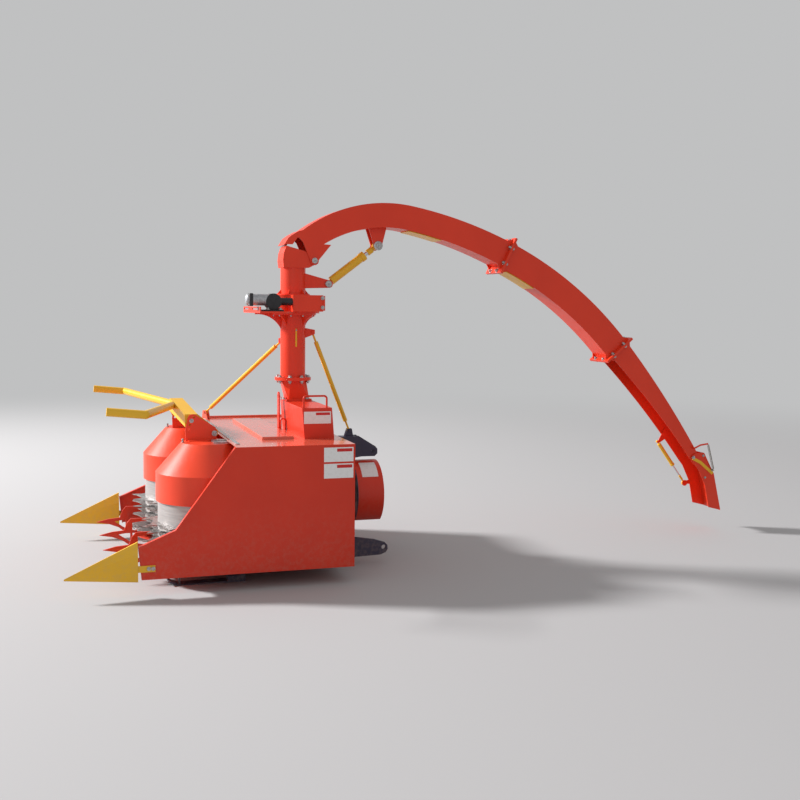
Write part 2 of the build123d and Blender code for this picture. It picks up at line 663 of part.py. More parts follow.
def grab_handle():
    """Bent bar on the tower's left edge."""
    x, r = CHUTE_X1 - 14, 6
    y0, y1 = CHUTE_Y0 + CHUTE_LEAN + 12, CHUTE_Y1 + CHUTE_LEAN - 30
    z0, z1 = CHUTE_TOP_Z, CHUTE_TOP_Z + 72
    path = FilletPolyline((x, y0, z0), (x, y0, z1), (x, y1, z1), (x, y1, z0), radius=18)
    return sweep(Plane(origin=(x, y0, z0), z_dir=(0, 0, 1)) * Circle(r), path=path)


def neck():
    """Folded square-to-round piece between the tower and the mast, with both its flanges."""
    z0 = CHUTE_TOP_Z + NECK_FLANGE_T
    def ring(y, z, half, corner):
        return [(half, y - corner, z), (half, y + corner, z), (corner, y + half, z), (-corner, y + half, z),
                (-half, y + corner, z), (-half, y - corner, z), (-corner, y - half, z), (corner, y - half, z)]
    def body(gap):
        low = ring(NECK_Y, z0, NECK_SIDE / 2 - gap, NECK_SIDE / 2 - gap - 6)
        return frustum(low, ring(MAST_Y, NECK_Z1, MAST_R - gap, (MAST_R - gap) * tan(radians(22.5))))
    side = NECK_SIDE + 26
    middle = Pos(0, NECK_Y, CHUTE_TOP_Z + NECK_FLANGE_T / 2)
    foot = middle * Box(side, side, NECK_FLANGE_T)
    foot -= middle * Box(NECK_SIDE - 2 * MAST_T, NECK_SIDE - 2 * MAST_T, 90)
    rim = upright(0, MAST_Y, FLANGE_R, NECK_Z1, NECK_Z1 + FLANGE_T)
    rim -= upright(0, MAST_Y, MAST_R - MAST_T, NECK_Z1 - 1, NECK_Z1 + FLANGE_T + 1)
    return body(0) - body(MAST_T) + foot + rim


def lower_mast():
    """Fixed pipe with its bottom flange, the top flange and the ribs that flare out to it."""
    z0, z1 = NECK_Z1 + FLANGE_T, SLEW_Z0
    pipe = upright(0, MAST_Y, MAST_R, z0, z1)
    pipe += upright(0, MAST_Y, FLANGE_R, z0, z0 + FLANGE_T)
    pipe += upright(0, MAST_Y, RING_R, z1 - 12, z1)
    inner, outer = MAST_R - 4, RING_R - 6
    for angle in (45, 90, 135, 180, 225, 270, 315):
        rib = Polyline((inner, z1 - 12), (inner, z1 - 104))
        rib += ThreePointArc((inner, z1 - 104), (inner + 21, z1 - 52), (outer, z1 - 20))
        rib += Polyline((outer, z1 - 20), (outer, z1 - 12), (inner, z1 - 12))
        pipe += Pos(0, MAST_Y, 0) * Rot(0, 0, angle - 90) * side_plate(make_face(rib), -4, 4)
    pipe += front_gusset()
    for name in STAYS:
        pipe += mast_lugs(name)
    return pipe - upright(0, MAST_Y, MAST_R - MAST_T, z0 - 1, z1 + 1)


def front_gusset():
    """Long curved gusset under the platform, in the mast's middle plane."""
    foot, z1 = MAST_Y - MAST_R + 4, SLEW_Z0
    tip = PLAT_Y0 + 20
    edge = Polyline((tip, z1 - 10), (tip, z1), (foot, z1), (foot, z1 - 109))
    edge += ThreePointArc((foot, z1 - 109), (foot - 68, z1 - 33), (tip, z1 - 10))
    return side_plate(make_face(edge), -4, 4)


# The front stay's foot is near the deck's right front corner.
FOOT_X, FOOT_Y = -HALF_W + 100.395, DECK_Y0 + 52.225
# Each stay lies in an upright plane through the mast: distance out from the mast and
# height of its top and bottom pins, and the bearing of the plane from +Y.
STAYS = {
    "rear_stay": (MAST_R + 47, SLEW_Z0 - 122, 384.0, TOP_LINK_Z + 139, 0.0),
    "front_stay": (MAST_R + 24, SLEW_Z0 - 182, hypot(FOOT_X, FOOT_Y - MAST_Y), DECK_Z + 47,
                   degrees(atan2(-FOOT_X, FOOT_Y - MAST_Y))),
}
STAY_R = 14.0
STAY_PIN_R = 8.0
STAY_EYE = 16.0          # width and radius of a stay's flat eye


def on_bearing(shape, bearing):
    """Turn something drawn in the mast's own upright plane to its bearing."""
    return Pos(0, MAST_Y, 0) * Rot(0, 0, bearing) * shape


def stay(out0, z0, out1, z1, bearing):
    """Tie bar with a flat eye at each end."""
    a, b = Vector(0, out0, z0), Vector(0, out1, z1)
    along = (b - a).normalized()
    bar = rod(a, b, 6.5) + rod(a + along * 70, b - along * 70, STAY_R)
    for y, z in ((out0, z0), (out1, z1)):
        bar += across(y, z, STAY_EYE, -STAY_EYE / 2, STAY_EYE / 2)
    for y, z in ((out0, z0), (out1, z1)):
        bar -= across(y, z, STAY_PIN_R + BORE_GAP, -20, 20)
    return on_bearing(bar, bearing)


def stay_lugs(outline, y, z, bearing):
    """Pair of lugs with the pin that holds a stay's eye between them."""
    gap = STAY_EYE / 2 + SEAT
    pair = both(side_plate(outline, gap, gap + 6))
    pin = across(y, z, STAY_PIN_R, -gap - 12, gap + 12)
    return on_bearing(pair[0] + pair[1] + pin, bearing)


def mast_lugs(name):
    """Lugs on the mast for one stay."""
    out, z, _, _, bearing = STAYS[name]
    outline = [(MAST_R - 4, z - 40), (out + 16, z - 14), (out + 16, z + 14), (MAST_R - 4, z + 26)]
    return stay_lugs(outline, out, z, bearing)


def foot_lugs(name, base_z):
    """Lugs at the foot of one stay, rising from base_z."""
    _, _, out, z, bearing = STAYS[name]
    outline = [(out - 34, base_z), (out - 16, z + 14), (out + 16, z + 14), (out + 26, base_z)]
    return stay_lugs(outline, out, z, bearing)


def slew_platform():
    """Plate that carries the slewing gear, with a bent front lip that has two slots."""
    z0, z1 = SLEW_Z0, SLEW_Z0 + PLAT_T
    plate = flat_plate([(PLAT_X0, PLAT_Y0), (PLAT_X1, PLAT_Y0), (PLAT_X1, PLAT_Y0 + 160), (RING_R, MAST_Y),
                        (-RING_R, MAST_Y), (PLAT_X0, PLAT_Y0 + 60)], z0, z1)
    plate += upright(0, MAST_Y, RING_R + 22, z0, z1)
    lip = block(PLAT_X0, PLAT_X1, PLAT_Y0 - 6, PLAT_Y0, z0, z0 + 40)
    for x0, x1 in ((PLAT_X0 + 20, -95), (45, PLAT_X1 - 80)):
        lip -= block(x0, x1, PLAT_Y0 - 7, PLAT_Y0 + 1, z1 + 8, z1 + 18)
    return plate + lip - upright(0, MAST_Y, MAST_R - MAST_T, z0 - 1, z1 + 1)


PLAT_X0, PLAT_X1 = -270.0, 320.0
PLAT_Y0 = 345.0
PLAT_T = 12.0
WORM_X = 186.0           # axis of the worm, beside the ring
MOTOR_X = 231.0
MOTOR_Z = SLEW_Z0 + 73.0


def slew_housing():
    """Round housing of the worm ring with the worm's own tunnel along its left side."""
    z0 = SLEW_Z0 + PLAT_T
    y1 = MAST_Y + RING_R
    ring = upright(0, MAST_Y, RING_R, z0, SLEW_Z1)
    ring += block(WORM_X - 76, WORM_X + 26, 570, y1, z0, SLEW_Z1)
    ring += block(WORM_X - 80, WORM_X + 30, y1, y1 + 12, z0 + 6, SLEW_Z1 - 4)
    return ring - upright(0, MAST_Y, MAST_R - MAST_T, z0 - 1, SLEW_Z1 + 1)


def slew_gear_case():
    """Round gear case of the slewing drive on its foot, with the neck that turns the worm."""
    z0 = SLEW_Z0 + PLAT_T
    case = across(437, MOTOR_Z, 50, WORM_X - 20, MOTOR_X + 31)
    case += block(WORM_X - 24, MOTOR_X + 45, 368, 497, z0, z0 + 10)
    case += block(WORM_X - 10, MOTOR_X + 21, 405, 470, z0, MOTOR_Z)
    return case + rod((WORM_X, 470, MOTOR_Z), (WORM_X, 570, MOTOR_Z), 24)


def slew_motor():
    """Barrel of the slewing motor with its square front flange and end cap."""
    z = MOTOR_Z + 10
    barrel = rod((MOTOR_X, 296, z), (MOTOR_X, 437, z), 36)
    barrel += block(MOTOR_X - 38, MOTOR_X + 38, 290, 296, z - 38, z + 38)
    barrel += rod((MOTOR_X, 266, z), (MOTOR_X, 290, z), 26)
    return barrel - across(437, MOTOR_Z, 50 + SEAT, MOTOR_X - 50, MOTOR_X + 50)


def upper_mast():
    """Slewing pipe on its own flange, ribbed at the foot, with the lift cylinder's lugs."""
    z0 = SLEW_Z1 + SEAT
    pipe = upright(0, MAST_Y, MAST_R, z0, UPPER_Z1)
    pipe += upright(0, MAST_Y, RING_R - 40, z0, z0 + 8)
    for angle in range(0, 360, 60):
        rib = side_plate([(MAST_R - 4, z0 + 8), (RING_R - 46, z0 + 8), (MAST_R - 4, z0 + 40)], -4, 4)
        pipe += Pos(0, MAST_Y, 0) * Rot(0, 0, angle) * rib
    lug = face_of([(MAST_Y + 40, UPPER_Z1 - 26), (LIFT_Y0 + 8, LIFT_Z0 + 24), (LIFT_Y0 + 8, LIFT_Z0 - 24),
                   (MAST_Y + 40, LIFT_Z0 - 30)])
    for x0 in (-LUG_GAP / 2 - LUG_T, LUG_GAP / 2):
        pipe += side_plate(lug, x0, x0 + LUG_T) + across(LIFT_Y0 + 6, LIFT_Z0, 24, x0, x0 + LUG_T)
    pipe -= upright(0, MAST_Y, MAST_R - MAST_T, z0 - 1, UPPER_Z1 + 1)
    return pipe + across(LIFT_Y0, LIFT_Z0, LIFT_PIN_R, -LUG_GAP / 2 - LUG_T - 6, LUG_GAP / 2 + LUG_T + 6)


LUG_GAP = 62.0
LUG_T = 9.0


def elbow():
    """Open-topped box on the slewing pipe; its back is folded round the spout hinge."""
    half, z0 = ELBOW_W / 2, UPPER_Z1
    back = [polar(HINGE_Y, HINGE_Z, ELBOW_R, a) for a in ELBOW_FOLDS]
    front = [(HINGE_Y - 35, z0), (HINGE_Y - 19, HINGE_Z + 15)]
    cheek = Polyline(*back, (back[-1][0], z0), front[0], (HINGE_Y + 8, HINGE_Z - 24))
    cheek += ThreePointArc((HINGE_Y + 8, HINGE_Z - 24), (HINGE_Y + 26, HINGE_Z), (HINGE_Y - 4, HINGE_Z + 26))
    cheek += Polyline((HINGE_Y - 4, HINGE_Z + 26), (HINGE_Y - 68, HINGE_Z + 62), back[0])
    solid = both(side_plate(make_face(cheek), half - ELBOW_T, half))
    shell = solid[0] + solid[1] + side_plate(strip(back, ELBOW_T), -half, half)
    shell += side_plate(strip(front, ELBOW_T), -half, half)
    shell += block(-half, half, back[-1][0], front[0][0], z0, z0 + ELBOW_T)
    shell -= upright(0, MAST_Y, MAST_R - MAST_T, z0 - 1, z0 + 10)
    return shell - across(HINGE_Y, HINGE_Z, HINGE_PIN_R + BORE_GAP, -half - 1, half + 1)


ELBOW_T = 4.0
ELBOW_FOLDS = (153, 167, 180, 193)   # bearings of the back's folds from the spout hinge


# ---- spout ---------------------------------------------------------------------------------
# Sections of the spout along its roof: length of roof and turn in degrees of each arc.
SPOUT_ARCS = {
    "spout_section_1": [(835.0, -50.0), (756.0, -14.5)],
    "spout_section_2": [(1128.0, -24.4)],
    "spout_section_3": [(1086.0, -9.0)],
}
# Depth of the section at its start and end.
SPOUT_DEPTH = {
    "spout_section_1": (150.0, 172.0),
    "spout_section_2": (188.0, 182.0),
    "spout_section_3": (160.0, 68.0),
}


def roof_points(start, arcs):
    """Stations along tangent arcs: at each arc's start, middle and end, as y, z, heading."""
    y, z, heading = start
    out = [(y, z, heading)]
    for length, turn in arcs:
        for half in (0, 1):
            step = radians(turn / 2)
            radius = (length / 2) / step
            h0 = radians(heading)
            y += radius * (sin(h0 + step) - sin(h0))
            z -= radius * (cos(h0 + step) - cos(h0))
            heading += turn / 2
            out.append((y, z, heading))
    return out


SPOUT_STATIONS = {}
station = (ROOF_Y0, ROOF_Z0, ROOF_HEADING)
for part, arcs in SPOUT_ARCS.items():
    SPOUT_STATIONS[part] = roof_points(station, arcs)
    station = SPOUT_STATIONS[part][-1]


def roof_at(part, along):
    """Point of a section's roof at a distance from its start."""
    y, z, heading = SPOUT_STATIONS[part][0]
    for length, turn in SPOUT_ARCS[part]:
        step = min(along, length)
        bend = radians(turn) * step / length
        radius = length / radians(turn)
        h0 = radians(heading)
        y += radius * (sin(h0 + bend) - sin(h0))
        z -= radius * (cos(h0 + bend) - cos(h0))
        heading += turn * step / length
        along -= step
        if along <= 0:
            break
    return (y, z, heading)


def depth_at(part, along):
    """Depth of a section at a distance from its start."""
    d0, d1 = SPOUT_DEPTH[part]
    return d0 + (d1 - d0) * along / sum(length for length, _ in SPOUT_ARCS[part])


def below(point, depth):
    """Point at a depth under the roof, square to it."""
    y, z, heading = point
    return (y + depth * sin(radians(heading)), z - depth * cos(radians(heading)))


FLAP_END = SPOUT_STATIONS["spout_section_3"][-1]
FLAP_Y = below(FLAP_END, FLAP_DEPTH)[0] + FLAP_ALONG * cos(radians(FLAP_END[2]))
FLAP_Z = below(FLAP_END, FLAP_DEPTH)[1] + FLAP_ALONG * sin(radians(FLAP_END[2]))
TRIM_Y0, TRIM_Z0 = FLAP_Y - 186, FLAP_Z + 102      # cylinder pin on the spout
TRIM_Y1, TRIM_Z1 = FLAP_Y + 55, FLAP_Z - 219       # cylinder pin on the flap
SPRING_X, SPRING_Y, SPRING_Z = SPOUT_W / 2 + 26, FLAP_Y + 102, FLAP_Z + 104
SPRING_SEAT = below(roof_at("spout_section_3", 970), 12)


def spout_face(part, gap_roof, gap_floor, stretch=0.0):
    """Side view of a spout section between its roof and floor lines."""
    points = SPOUT_STATIONS[part]
    d0, d1 = SPOUT_DEPTH[part]
    last = len(points) - 1
    depths = [d0 + (d1 - d0) * i / last for i in range(last + 1)]
    roof = [below(p, gap_roof) for p in points]
    floor = [below(p, d - gap_floor) for p, d in zip(points, depths)]
    if stretch:
        for line in (roof, floor):
            for end, heading, reach in ((0, points[0][2], -stretch), (last, points[-1][2], stretch)):
                y, z = line[end]
                line[end] = (y + reach * cos(radians(heading)), z + reach * sin(radians(heading)))
    edges = []
    for line in (roof, floor):
        for i in range(0, last, 2):
            edges.append(ThreePointArc(line[i], line[i + 1], line[i + 2]))
    edges.append(Line(roof[0], floor[0]))
    edges.append(Line(roof[-1], floor[-1]))
    return make_face(edges)


def spout_flange(part, at_end):
    """Rectangular flange plate round the end of a section, with four corner gussets."""
    points = SPOUT_STATIONS[part]
    y, z, heading = points[-1] if at_end else points[0]
    depth = SPOUT_DEPTH[part][1 if at_end else 0]
    big = max(SPOUT_DEPTH[part][1 if at_end else 0], FLANGE_DEPTH[(part, at_end)])
    onward = (0, cos(radians(heading)), sin(radians(heading)))
    seat = Plane(origin=(0, y, z), x_dir=(-1, 0, 0), z_dir=onward)
    inward = -1 if at_end else 1
    plate = Box(SPOUT_W + 2 * FLANGE_PROUD, big + 2 * FLANGE_PROUD, SPOUT_FLANGE_T)
    shape = Pos(0, -big / 2, inward * SPOUT_FLANGE_T / 2) * plate
    shape -= Pos(0, -depth / 2, 0) * Box(SPOUT_W - 2 * SPOUT_T, depth - 2 * SPOUT_T, 60)
    tall = 44.0
    for x in (-SPOUT_W / 2 + 3, SPOUT_W / 2 - 3):
        for sign, base in ((1, 0.0), (-1, -depth)):
            outline = [(0, 0), (0, sign * (FLANGE_PROUD - 4)), (inward * tall, 0)]
            shape += side_plate([(base + v, u) for u, v in outline], x - 3, x + 3)
    return seat * shape


# The two plates of a joint are alike, so each takes the deeper section.
FLANGE_DEPTH = {
    ("spout_section_1", True): 188.0,
    ("spout_section_2", False): 188.0,
    ("spout_section_2", True): 182.0,
    ("spout_section_3", False): 182.0,
}


def spout_collar(part, at_end):
    """Flange welded round the outside of a section's end."""
    half = SPOUT_W / 2
    return spout_flange(part, at_end) - side_plate(spout_face(part, -SEAM, -SEAM), -half, half)


def spout_sheets(part):
    """Floor and roof of a section, bent sheets between its side plates."""
    inner = SPOUT_W / 2 - SPOUT_T
    sheets = side_plate(spout_face(part, 0, 0), -inner, inner)
    sheets -= side_plate(spout_face(part, SPOUT_T, SPOUT_T, 5.0), -inner - 1, inner + 1)
    return sheets.solids().sort_by(Axis.Z)


def hood_line():
    """Side view of the hood that slides over the elbow's back as the spout lifts."""
    y, z = HINGE_Y, HINGE_Z
    return [polar(y, z, ELBOW_R + 18, 154), (y - 170, z + 144), (y - 140, z + 166),
            polar(y, z, ELBOW_R + RUN + SPOUT_T, 118), below(roof_at("spout_section_1", 48), 0)]


def root_side():
    """Side plate of the first section with the hood's cheek, the hinge lug and its pin."""
    half, inner = SPOUT_W / 2, SPOUT_W / 2 - SPOUT_T
    y, z = HINGE_Y, HINGE_Z
    start = SPOUT_STATIONS["spout_section_1"][0]
    lug = Polyline(below(start, 62), (y - 28, z + 4))
    lug += ThreePointArc((y - 28, z + 4), (y + 6, z - 28), (y + 28, z + 4))
    lug += Polyline((y + 28, z + 4), (y + 110, z + 104), below(start, 62))
    cheek = hood_line() + [(y - 70, z + 140), (y - 111, z + 145), (y - 144, z + 101), (y - 190, z + 101)]
    plate = side_plate(spout_face("spout_section_1", 0, 0), inner, half)
    plate += side_plate(make_face(lug), inner, half) + side_plate(cheek, inner, half)
    return plate + across(y, z, HINGE_PIN_R, ELBOW_W / 2 - 5, half + 8)


def spout_root():
    """First section: side plates, roof with its hood, floor with the lift cylinder's lugs, flange."""
    part = "spout_section_1"
    half, inner = SPOUT_W / 2, SPOUT_W / 2 - SPOUT_T
    start, cut = SPOUT_STATIONS[part][0], roof_at(part, 44)
    mouth = side_plate([below(start, -5), below(start, 160), below(cut, 160), below(cut, -5)], -inner, inner)
    floor, roof = [sheet - mouth for sheet in spout_sheets(part)]
    sides = both(root_side())
    roof += side_plate(strip(hood_line()[::-1], SPOUT_T), -half, half)
    y, z = LIFT_Y1, LIFT_Z1
    for x0 in (-LUG_GAP / 2 - LUG_T, LUG_GAP / 2):
        outline = [(y - 72, z + 135), (y - 26, z - 4), (y + 26, z - 4), (y + 62, z + 135)]
        floor += side_plate(outline, x0, x0 + LUG_T) + across(y, z, 27, x0, x0 + LUG_T)
    inside = side_plate(spout_face(part, SPOUT_T, SPOUT_T), -inner, inner)
    floor -= inside
    roof -= inside + sides[0] + sides[1]
    floor += across(y, z, LIFT_PIN_R, -LUG_GAP / 2 - LUG_T - 6, LUG_GAP / 2 + LUG_T + 6)
    return [*sides, roof, floor, spout_collar(part, True)]


def spout_middle():
    """Second section: side plates, roof, floor and the flanges at both ends."""
    part = "spout_section_2"
    sides = both(side_plate(spout_face(part, 0, 0), SPOUT_W / 2 - SPOUT_T, SPOUT_W / 2))
    return [*sides, *spout_sheets(part), spout_collar(part, False), spout_collar(part, True)]


def spout_tail():
    """Last section: an open channel that tapers to the deflector's pivots."""
    part = "spout_section_3"
    half = SPOUT_W / 2
    duct = side_plate(spout_face(part, 0, 0), -half, half)
    duct -= side_plate(spout_face(part, SPOUT_T, -20.0, 5.0), -half + SPOUT_T, half - SPOUT_T)
    duct += spout_flange(part, False)
    for side in (-1, 1):
        x0, x1 = side * half, side * (half + 14)
        duct += across(FLAP_Y, FLAP_Z, FLAP_PIN_R, min(x0, x1), max(x0, x1))
    y, z = TRIM_Y0, TRIM_Z0
    arm = [(y - 8, z - 9), (y + 9, z - 9), (y + 82, z + 34), (y + 52, z + 100)]
    root = arm[2:] + [(y + 40, z + 60), (y + 60, z + 20)]
    duct += side_plate(arm, TRIM_X + 6.2, TRIM_X + 11)
    duct += side_plate(root, -half + SPOUT_T - 0.2, TRIM_X + 11)
    duct += across(y, z, TRIM_PIN_R, TRIM_X - 8, TRIM_X + 11)
    y, z = SPRING_SEAT
    line = [(SPRING_X, y, z), (SPRING_X, FLAP_Y + 40, FLAP_Z + 96), (SPRING_X, SPRING_Y, SPRING_Z)]
    bracket = across(y, z, 6, half - 1, SPRING_X)
    for start, end in zip(line, line[1:]):
        bracket += Pos(*start) * Sphere(6) + rod(start, end, 6)
    return duct + bracket


def clean_out(part, start, end):
    """Bolted cover on the underside of a section, over its clean-out opening."""
    half, edges, rows = SPOUT_W / 2 - 12, [], []
    for gap in (COVER_GAP, COVER_GAP + 5):
        row = []
        for along in (start, (start + end) / 2, end):
            row.append(below(roof_at(part, along), depth_at(part, along) + gap))
        rows.append(row)
        edges.append(ThreePointArc(*row))
    edges += [Line(rows[0][0], rows[1][0]), Line(rows[0][-1], rows[1][-1])]
    return side_plate(make_face(edges), -half, half)


COVER_GAP = 0.5          # a cover lies this far off the duct's curved floor


# ---- cylinders -------------------------------------------------------------------------------
def cylinder_parts(x, start, end, pin_r, barrel_r, rod_r, barrel_end, eye_w, play, travel_in):
    """Barrel with its eye on the start pin, plain rod, and the socket and eye on the end pin."""
    a, b = Vector(x, *start), Vector(x, *end)
    along = (b - a).normalized()
    eye_r = pin_r * 2.0
    barrel = rod(a + along * (eye_r + 12), a + along * barrel_end, barrel_r)
    barrel += rod(a + along * (barrel_end - barrel_r), a + along * barrel_end, barrel_r * 1.14)
    barrel += across(start[0], start[1], eye_r, x - eye_w / 2, x + eye_w / 2)
    barrel += rod(a, a + along * (eye_r + 14), pin_r * 0.9)
    barrel -= across(start[0], start[1], pin_r + BORE_GAP, x - eye_w, x + eye_w)
    floor = eye_r + 24
    barrel -= rod(a + along * floor, a + along * (barrel_end + 1), rod_r + BORE_GAP)
    end_r = pin_r + play
    socket_end = b - along * (end_r + 60)
    stem = rod(a + along * (floor + travel_in + 8), socket_end, rod_r)
    eye = rod(socket_end, b - along * (end_r + 22), rod_r * 1.5) + rod(b - along * (end_r + 23), b, rod_r)
    eye += across(end[0], end[1], end_r + 7, x - eye_w / 2, x + eye_w / 2)
    eye -= across(end[0], end[1], end_r, x - eye_w, x + eye_w)
    return barrel, stem, eye


# ---- deflector ---------------------------------------------------------------------------------
FLAP_HALF = SPOUT_W / 2 + RUN


def flap():
    """Channel that steers the stream, hung on two pivots outside the last section."""
    y, z = FLAP_Y, FLAP_Z
    roof = [(y + 86, z + 35), (y + 175, z - 125), (y + 242, z - 399)]
    outer = roof + [(y + 138, z - 373), (y + 102, z - 209), (y + 40, z - 85), (y - 15, z - 17)]
    outer += [(y - 15, z + 20), (y + 20, z + 35)]
    wall = side_plate(outer, FLAP_HALF, FLAP_HALF + 3)
    wall -= across(y, z, FLAP_PIN_R + BORE_GAP, FLAP_HALF - 1, FLAP_HALF + 10)
    roof_sheet = side_plate(strip(roof[::-1], 3), -FLAP_HALF, FLAP_HALF)
    y, z = TRIM_Y1, TRIM_Z1
    arm = side_plate([(y - 9, z - 9), (y - 9, z + 9), (y + 60, z + 24), (y + 62, z - 12)],
                     -FLAP_HALF - 3, -FLAP_HALF)
    arm += across(y, z, TRIM_PIN_R, -FLAP_HALF - 3, TRIM_X + 5.5)
    arm += across(y, z, TRIM_PIN_R, TRIM_X + 5, TRIM_X + 10)
    arm += across(y, z, TRIM_PIN_R + TRIM_PLAY + 9, TRIM_X + 6.2, TRIM_X + 8.2)
    return wall + mirrored(wall) + roof_sheet + arm


def flap_strap():
    """Bent strap from the pivot to the back of the flap."""
    line = [(FLAP_Y - 8, FLAP_Z + 8), (FLAP_Y + 60, FLAP_Z - 25), (FLAP_Y + 168, FLAP_Z - 112)]
    x0 = FLAP_HALF + 3
    plate = side_plate(strip(line[::-1], 22), x0, x0 + 5)
    return plate - across(FLAP_Y, FLAP_Z, FLAP_PIN_R + BORE_GAP, x0 - 1, x0 + 6)


# ---- all nodes -----------------------------------------------------------------------------------
put("left_side_panel", side_panel())
put("right_side_panel", mirrored(side_panel()))
put("deck", deck())
put("deck_cover", deck_cover())
put("latch_plate", latch_plate(), latch_bail())
put("rear_wall", rear_wall())
put("floor_pan", floor_pan())
put("wrap_wall", wrap_wall())
put("chopper_housing", chopper_housing())
put("chopper_flywheel", flywheel())
put("drive_gearbox", gearbox())
put("pto_shaft", pto_shaft())
put("pto_guard", pto_guard())
put("guard_plate", guard_plate())
put("base_frame", base_frame())
put("skids", both(skid()))
put("lower_link_plates", both(lower_link_plate()))
put("top_link_bracket", top_link_bracket())
put("left_divider", divider())
put("right_divider", mirrored(divider()))
put("guide_fingers", [finger(x) for x in FINGER_X])
put("left_drum_cap", drum_cap())
put("right_drum_cap", mirrored(drum_cap()))
put("bender_ears", both(ear()))
put("drum_spindles", both(spindle()))
put("cap_bars", *[both(bar) for bar in cap_bars()], deck_strip())
put("crop_bender", bender())
put("left_drum", drum())
put("left_star_wheels", star_wheels())
put("left_knife_disc", knife_disc())
put("right_drum", mirrored(drum()))
put("right_star_wheels", [mirrored(s) for s in star_wheels()])
put("right_knife_disc", mirrored(knife_disc()))
put("left_feed_roller", feed_roller())
put("right_feed_roller", mirrored(feed_roller()))
put("discharge_tower", tower())
put("grab_handle", grab_handle())
put("mast_neck", neck())
put("lower_mast", lower_mast())
for name, pins in STAYS.items():
    put(name, stay(*pins))
put("slew_platform", slew_platform())
put("slew_housing", slew_housing())
put("slew_gear_case", slew_gear_case())
put("slew_motor", slew_motor())
put("upper_mast", upper_mast())
put("spout_elbow", elbow())
put("spout_section_1", spout_root())
put("spout_section_2", spout_middle())
put("spout_section_3", spout_tail())
put("clean_out_covers", clean_out("spout_section_1", 838, 1090), clean_out("spout_section_2", 48, 300))
lift = cylinder_parts(0, (LIFT_Y0, LIFT_Z0), (LIFT_Y1, LIFT_Z1), LIFT_PIN_R, LIFT_BARREL_R, 14, 318, 50,
                      LIFT_PLAY, 0)
put("lift_cylinder_barrel", lift[0])
put("lift_cylinder_rod", lift[1])
put("lift_rod_eye", lift[2])
trim = cylinder_parts(TRIM_X, (TRIM_Y0, TRIM_Z0), (TRIM_Y1, TRIM_Z1), TRIM_PIN_R, TRIM_BARREL_R, 5.5, 228,
                      11.8, TRIM_PLAY, 42)
put("trim_cylinder_barrel", trim[0])
put("trim_cylinder_rod", trim[1])
put("trim_rod_eye", trim[2])
put("deflector_flap", flap())
put("deflector_straps", both(flap_strap()))

# ---- origin at the bottom centre, then one file per node -------------------------------------------
if __name__ == "__main__":
    everything = Compound([s for solids in NODES.values() for s in solids])
    box = everything.bounding_box()
    shift = Pos(0, -(box.min.Y + box.max.Y) / 2, -box.min.Z)
    os.makedirs("parts", exist_ok=True)
    for name, solids in NODES.items():
        moved = [shift * solid for solid in solids]
        shape = moved[0] if len(moved) == 1 else Compound(children=moved)
        export_step(shape, f"parts/{name}.step")
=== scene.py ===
# %% [markdown]
# # A mounted forage harvester, from its frame to its finish
# The machine hangs on a tractor's three-point hitch. Its two drums gather the crop, a chopper
# throws it up the mast, and the long red spout lays it in a trailer. The rigid pieces arrive
# with their true shapes, so this lesson gives them their finishes and adds the fittings.

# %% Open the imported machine
import json
from math import cos, pi, radians, sin, sqrt

import bmesh
import bpy
from mathutils import Matrix, Vector


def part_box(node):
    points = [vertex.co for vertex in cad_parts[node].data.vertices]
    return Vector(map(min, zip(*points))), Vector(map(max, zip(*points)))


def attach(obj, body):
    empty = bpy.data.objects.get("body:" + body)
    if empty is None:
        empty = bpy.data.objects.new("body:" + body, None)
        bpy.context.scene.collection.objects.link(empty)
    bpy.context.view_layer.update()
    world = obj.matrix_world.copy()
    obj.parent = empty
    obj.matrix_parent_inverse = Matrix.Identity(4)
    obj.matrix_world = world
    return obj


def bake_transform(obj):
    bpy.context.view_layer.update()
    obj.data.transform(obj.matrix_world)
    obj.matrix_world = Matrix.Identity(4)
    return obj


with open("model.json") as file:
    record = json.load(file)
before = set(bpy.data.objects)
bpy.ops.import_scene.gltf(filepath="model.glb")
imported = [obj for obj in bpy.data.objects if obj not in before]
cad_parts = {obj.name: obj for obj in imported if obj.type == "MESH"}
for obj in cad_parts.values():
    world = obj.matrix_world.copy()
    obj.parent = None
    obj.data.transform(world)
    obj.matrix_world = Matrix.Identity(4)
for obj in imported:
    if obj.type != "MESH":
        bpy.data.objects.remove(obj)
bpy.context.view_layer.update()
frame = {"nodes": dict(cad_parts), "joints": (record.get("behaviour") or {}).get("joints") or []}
nodes = frame["nodes"]

# %% [markdown]
# ## The camera
# The machine is seen from its left, a little from the front and from about standing height.
# A rotation from yaw and pitch alone would keep the horizon level. A roll of 0.6 degrees comes
# on top, so the camera's three axes are written out as the columns of a matrix.

# %% Camera
CAMERA_PLACE = (6.9511, -2.4071, 1.6446)
yaw, pitch, roll = radians(17.982), radians(4.955), radians(0.6095)
ahead = Vector((-cos(yaw) * cos(pitch), sin(yaw) * cos(pitch), -sin(pitch)))
level = ahead.cross(Vector((0, 0, 1))).normalized()
upward = level.cross(ahead)
right = level * cos(roll) + upward * sin(roll)
up = upward * cos(roll) - level * sin(roll)
camera = bpy.data.objects.new("camera", bpy.data.cameras.new("camera"))
bpy.context.collection.objects.link(camera)
axes = Matrix((right, up, -ahead)).transposed()
camera.matrix_world = Matrix.Translation(CAMERA_PLACE) @ axes.to_4x4()
camera.data.sensor_width = 36
camera.data.lens = 48.739
camera.data.shift_x = 0.0016
bpy.context.scene.camera = camera
print("camera looks along", [round(v, 3) for v in ahead])

# %% [markdown]
# ## The floor
# A studio floor should run into its background without an edge. A curved sheet would do it for
# one camera only, so the floor stays flat and its finish turns, far from the machine, into the
# same even glow as the sky. From any side the two then meet unseen.

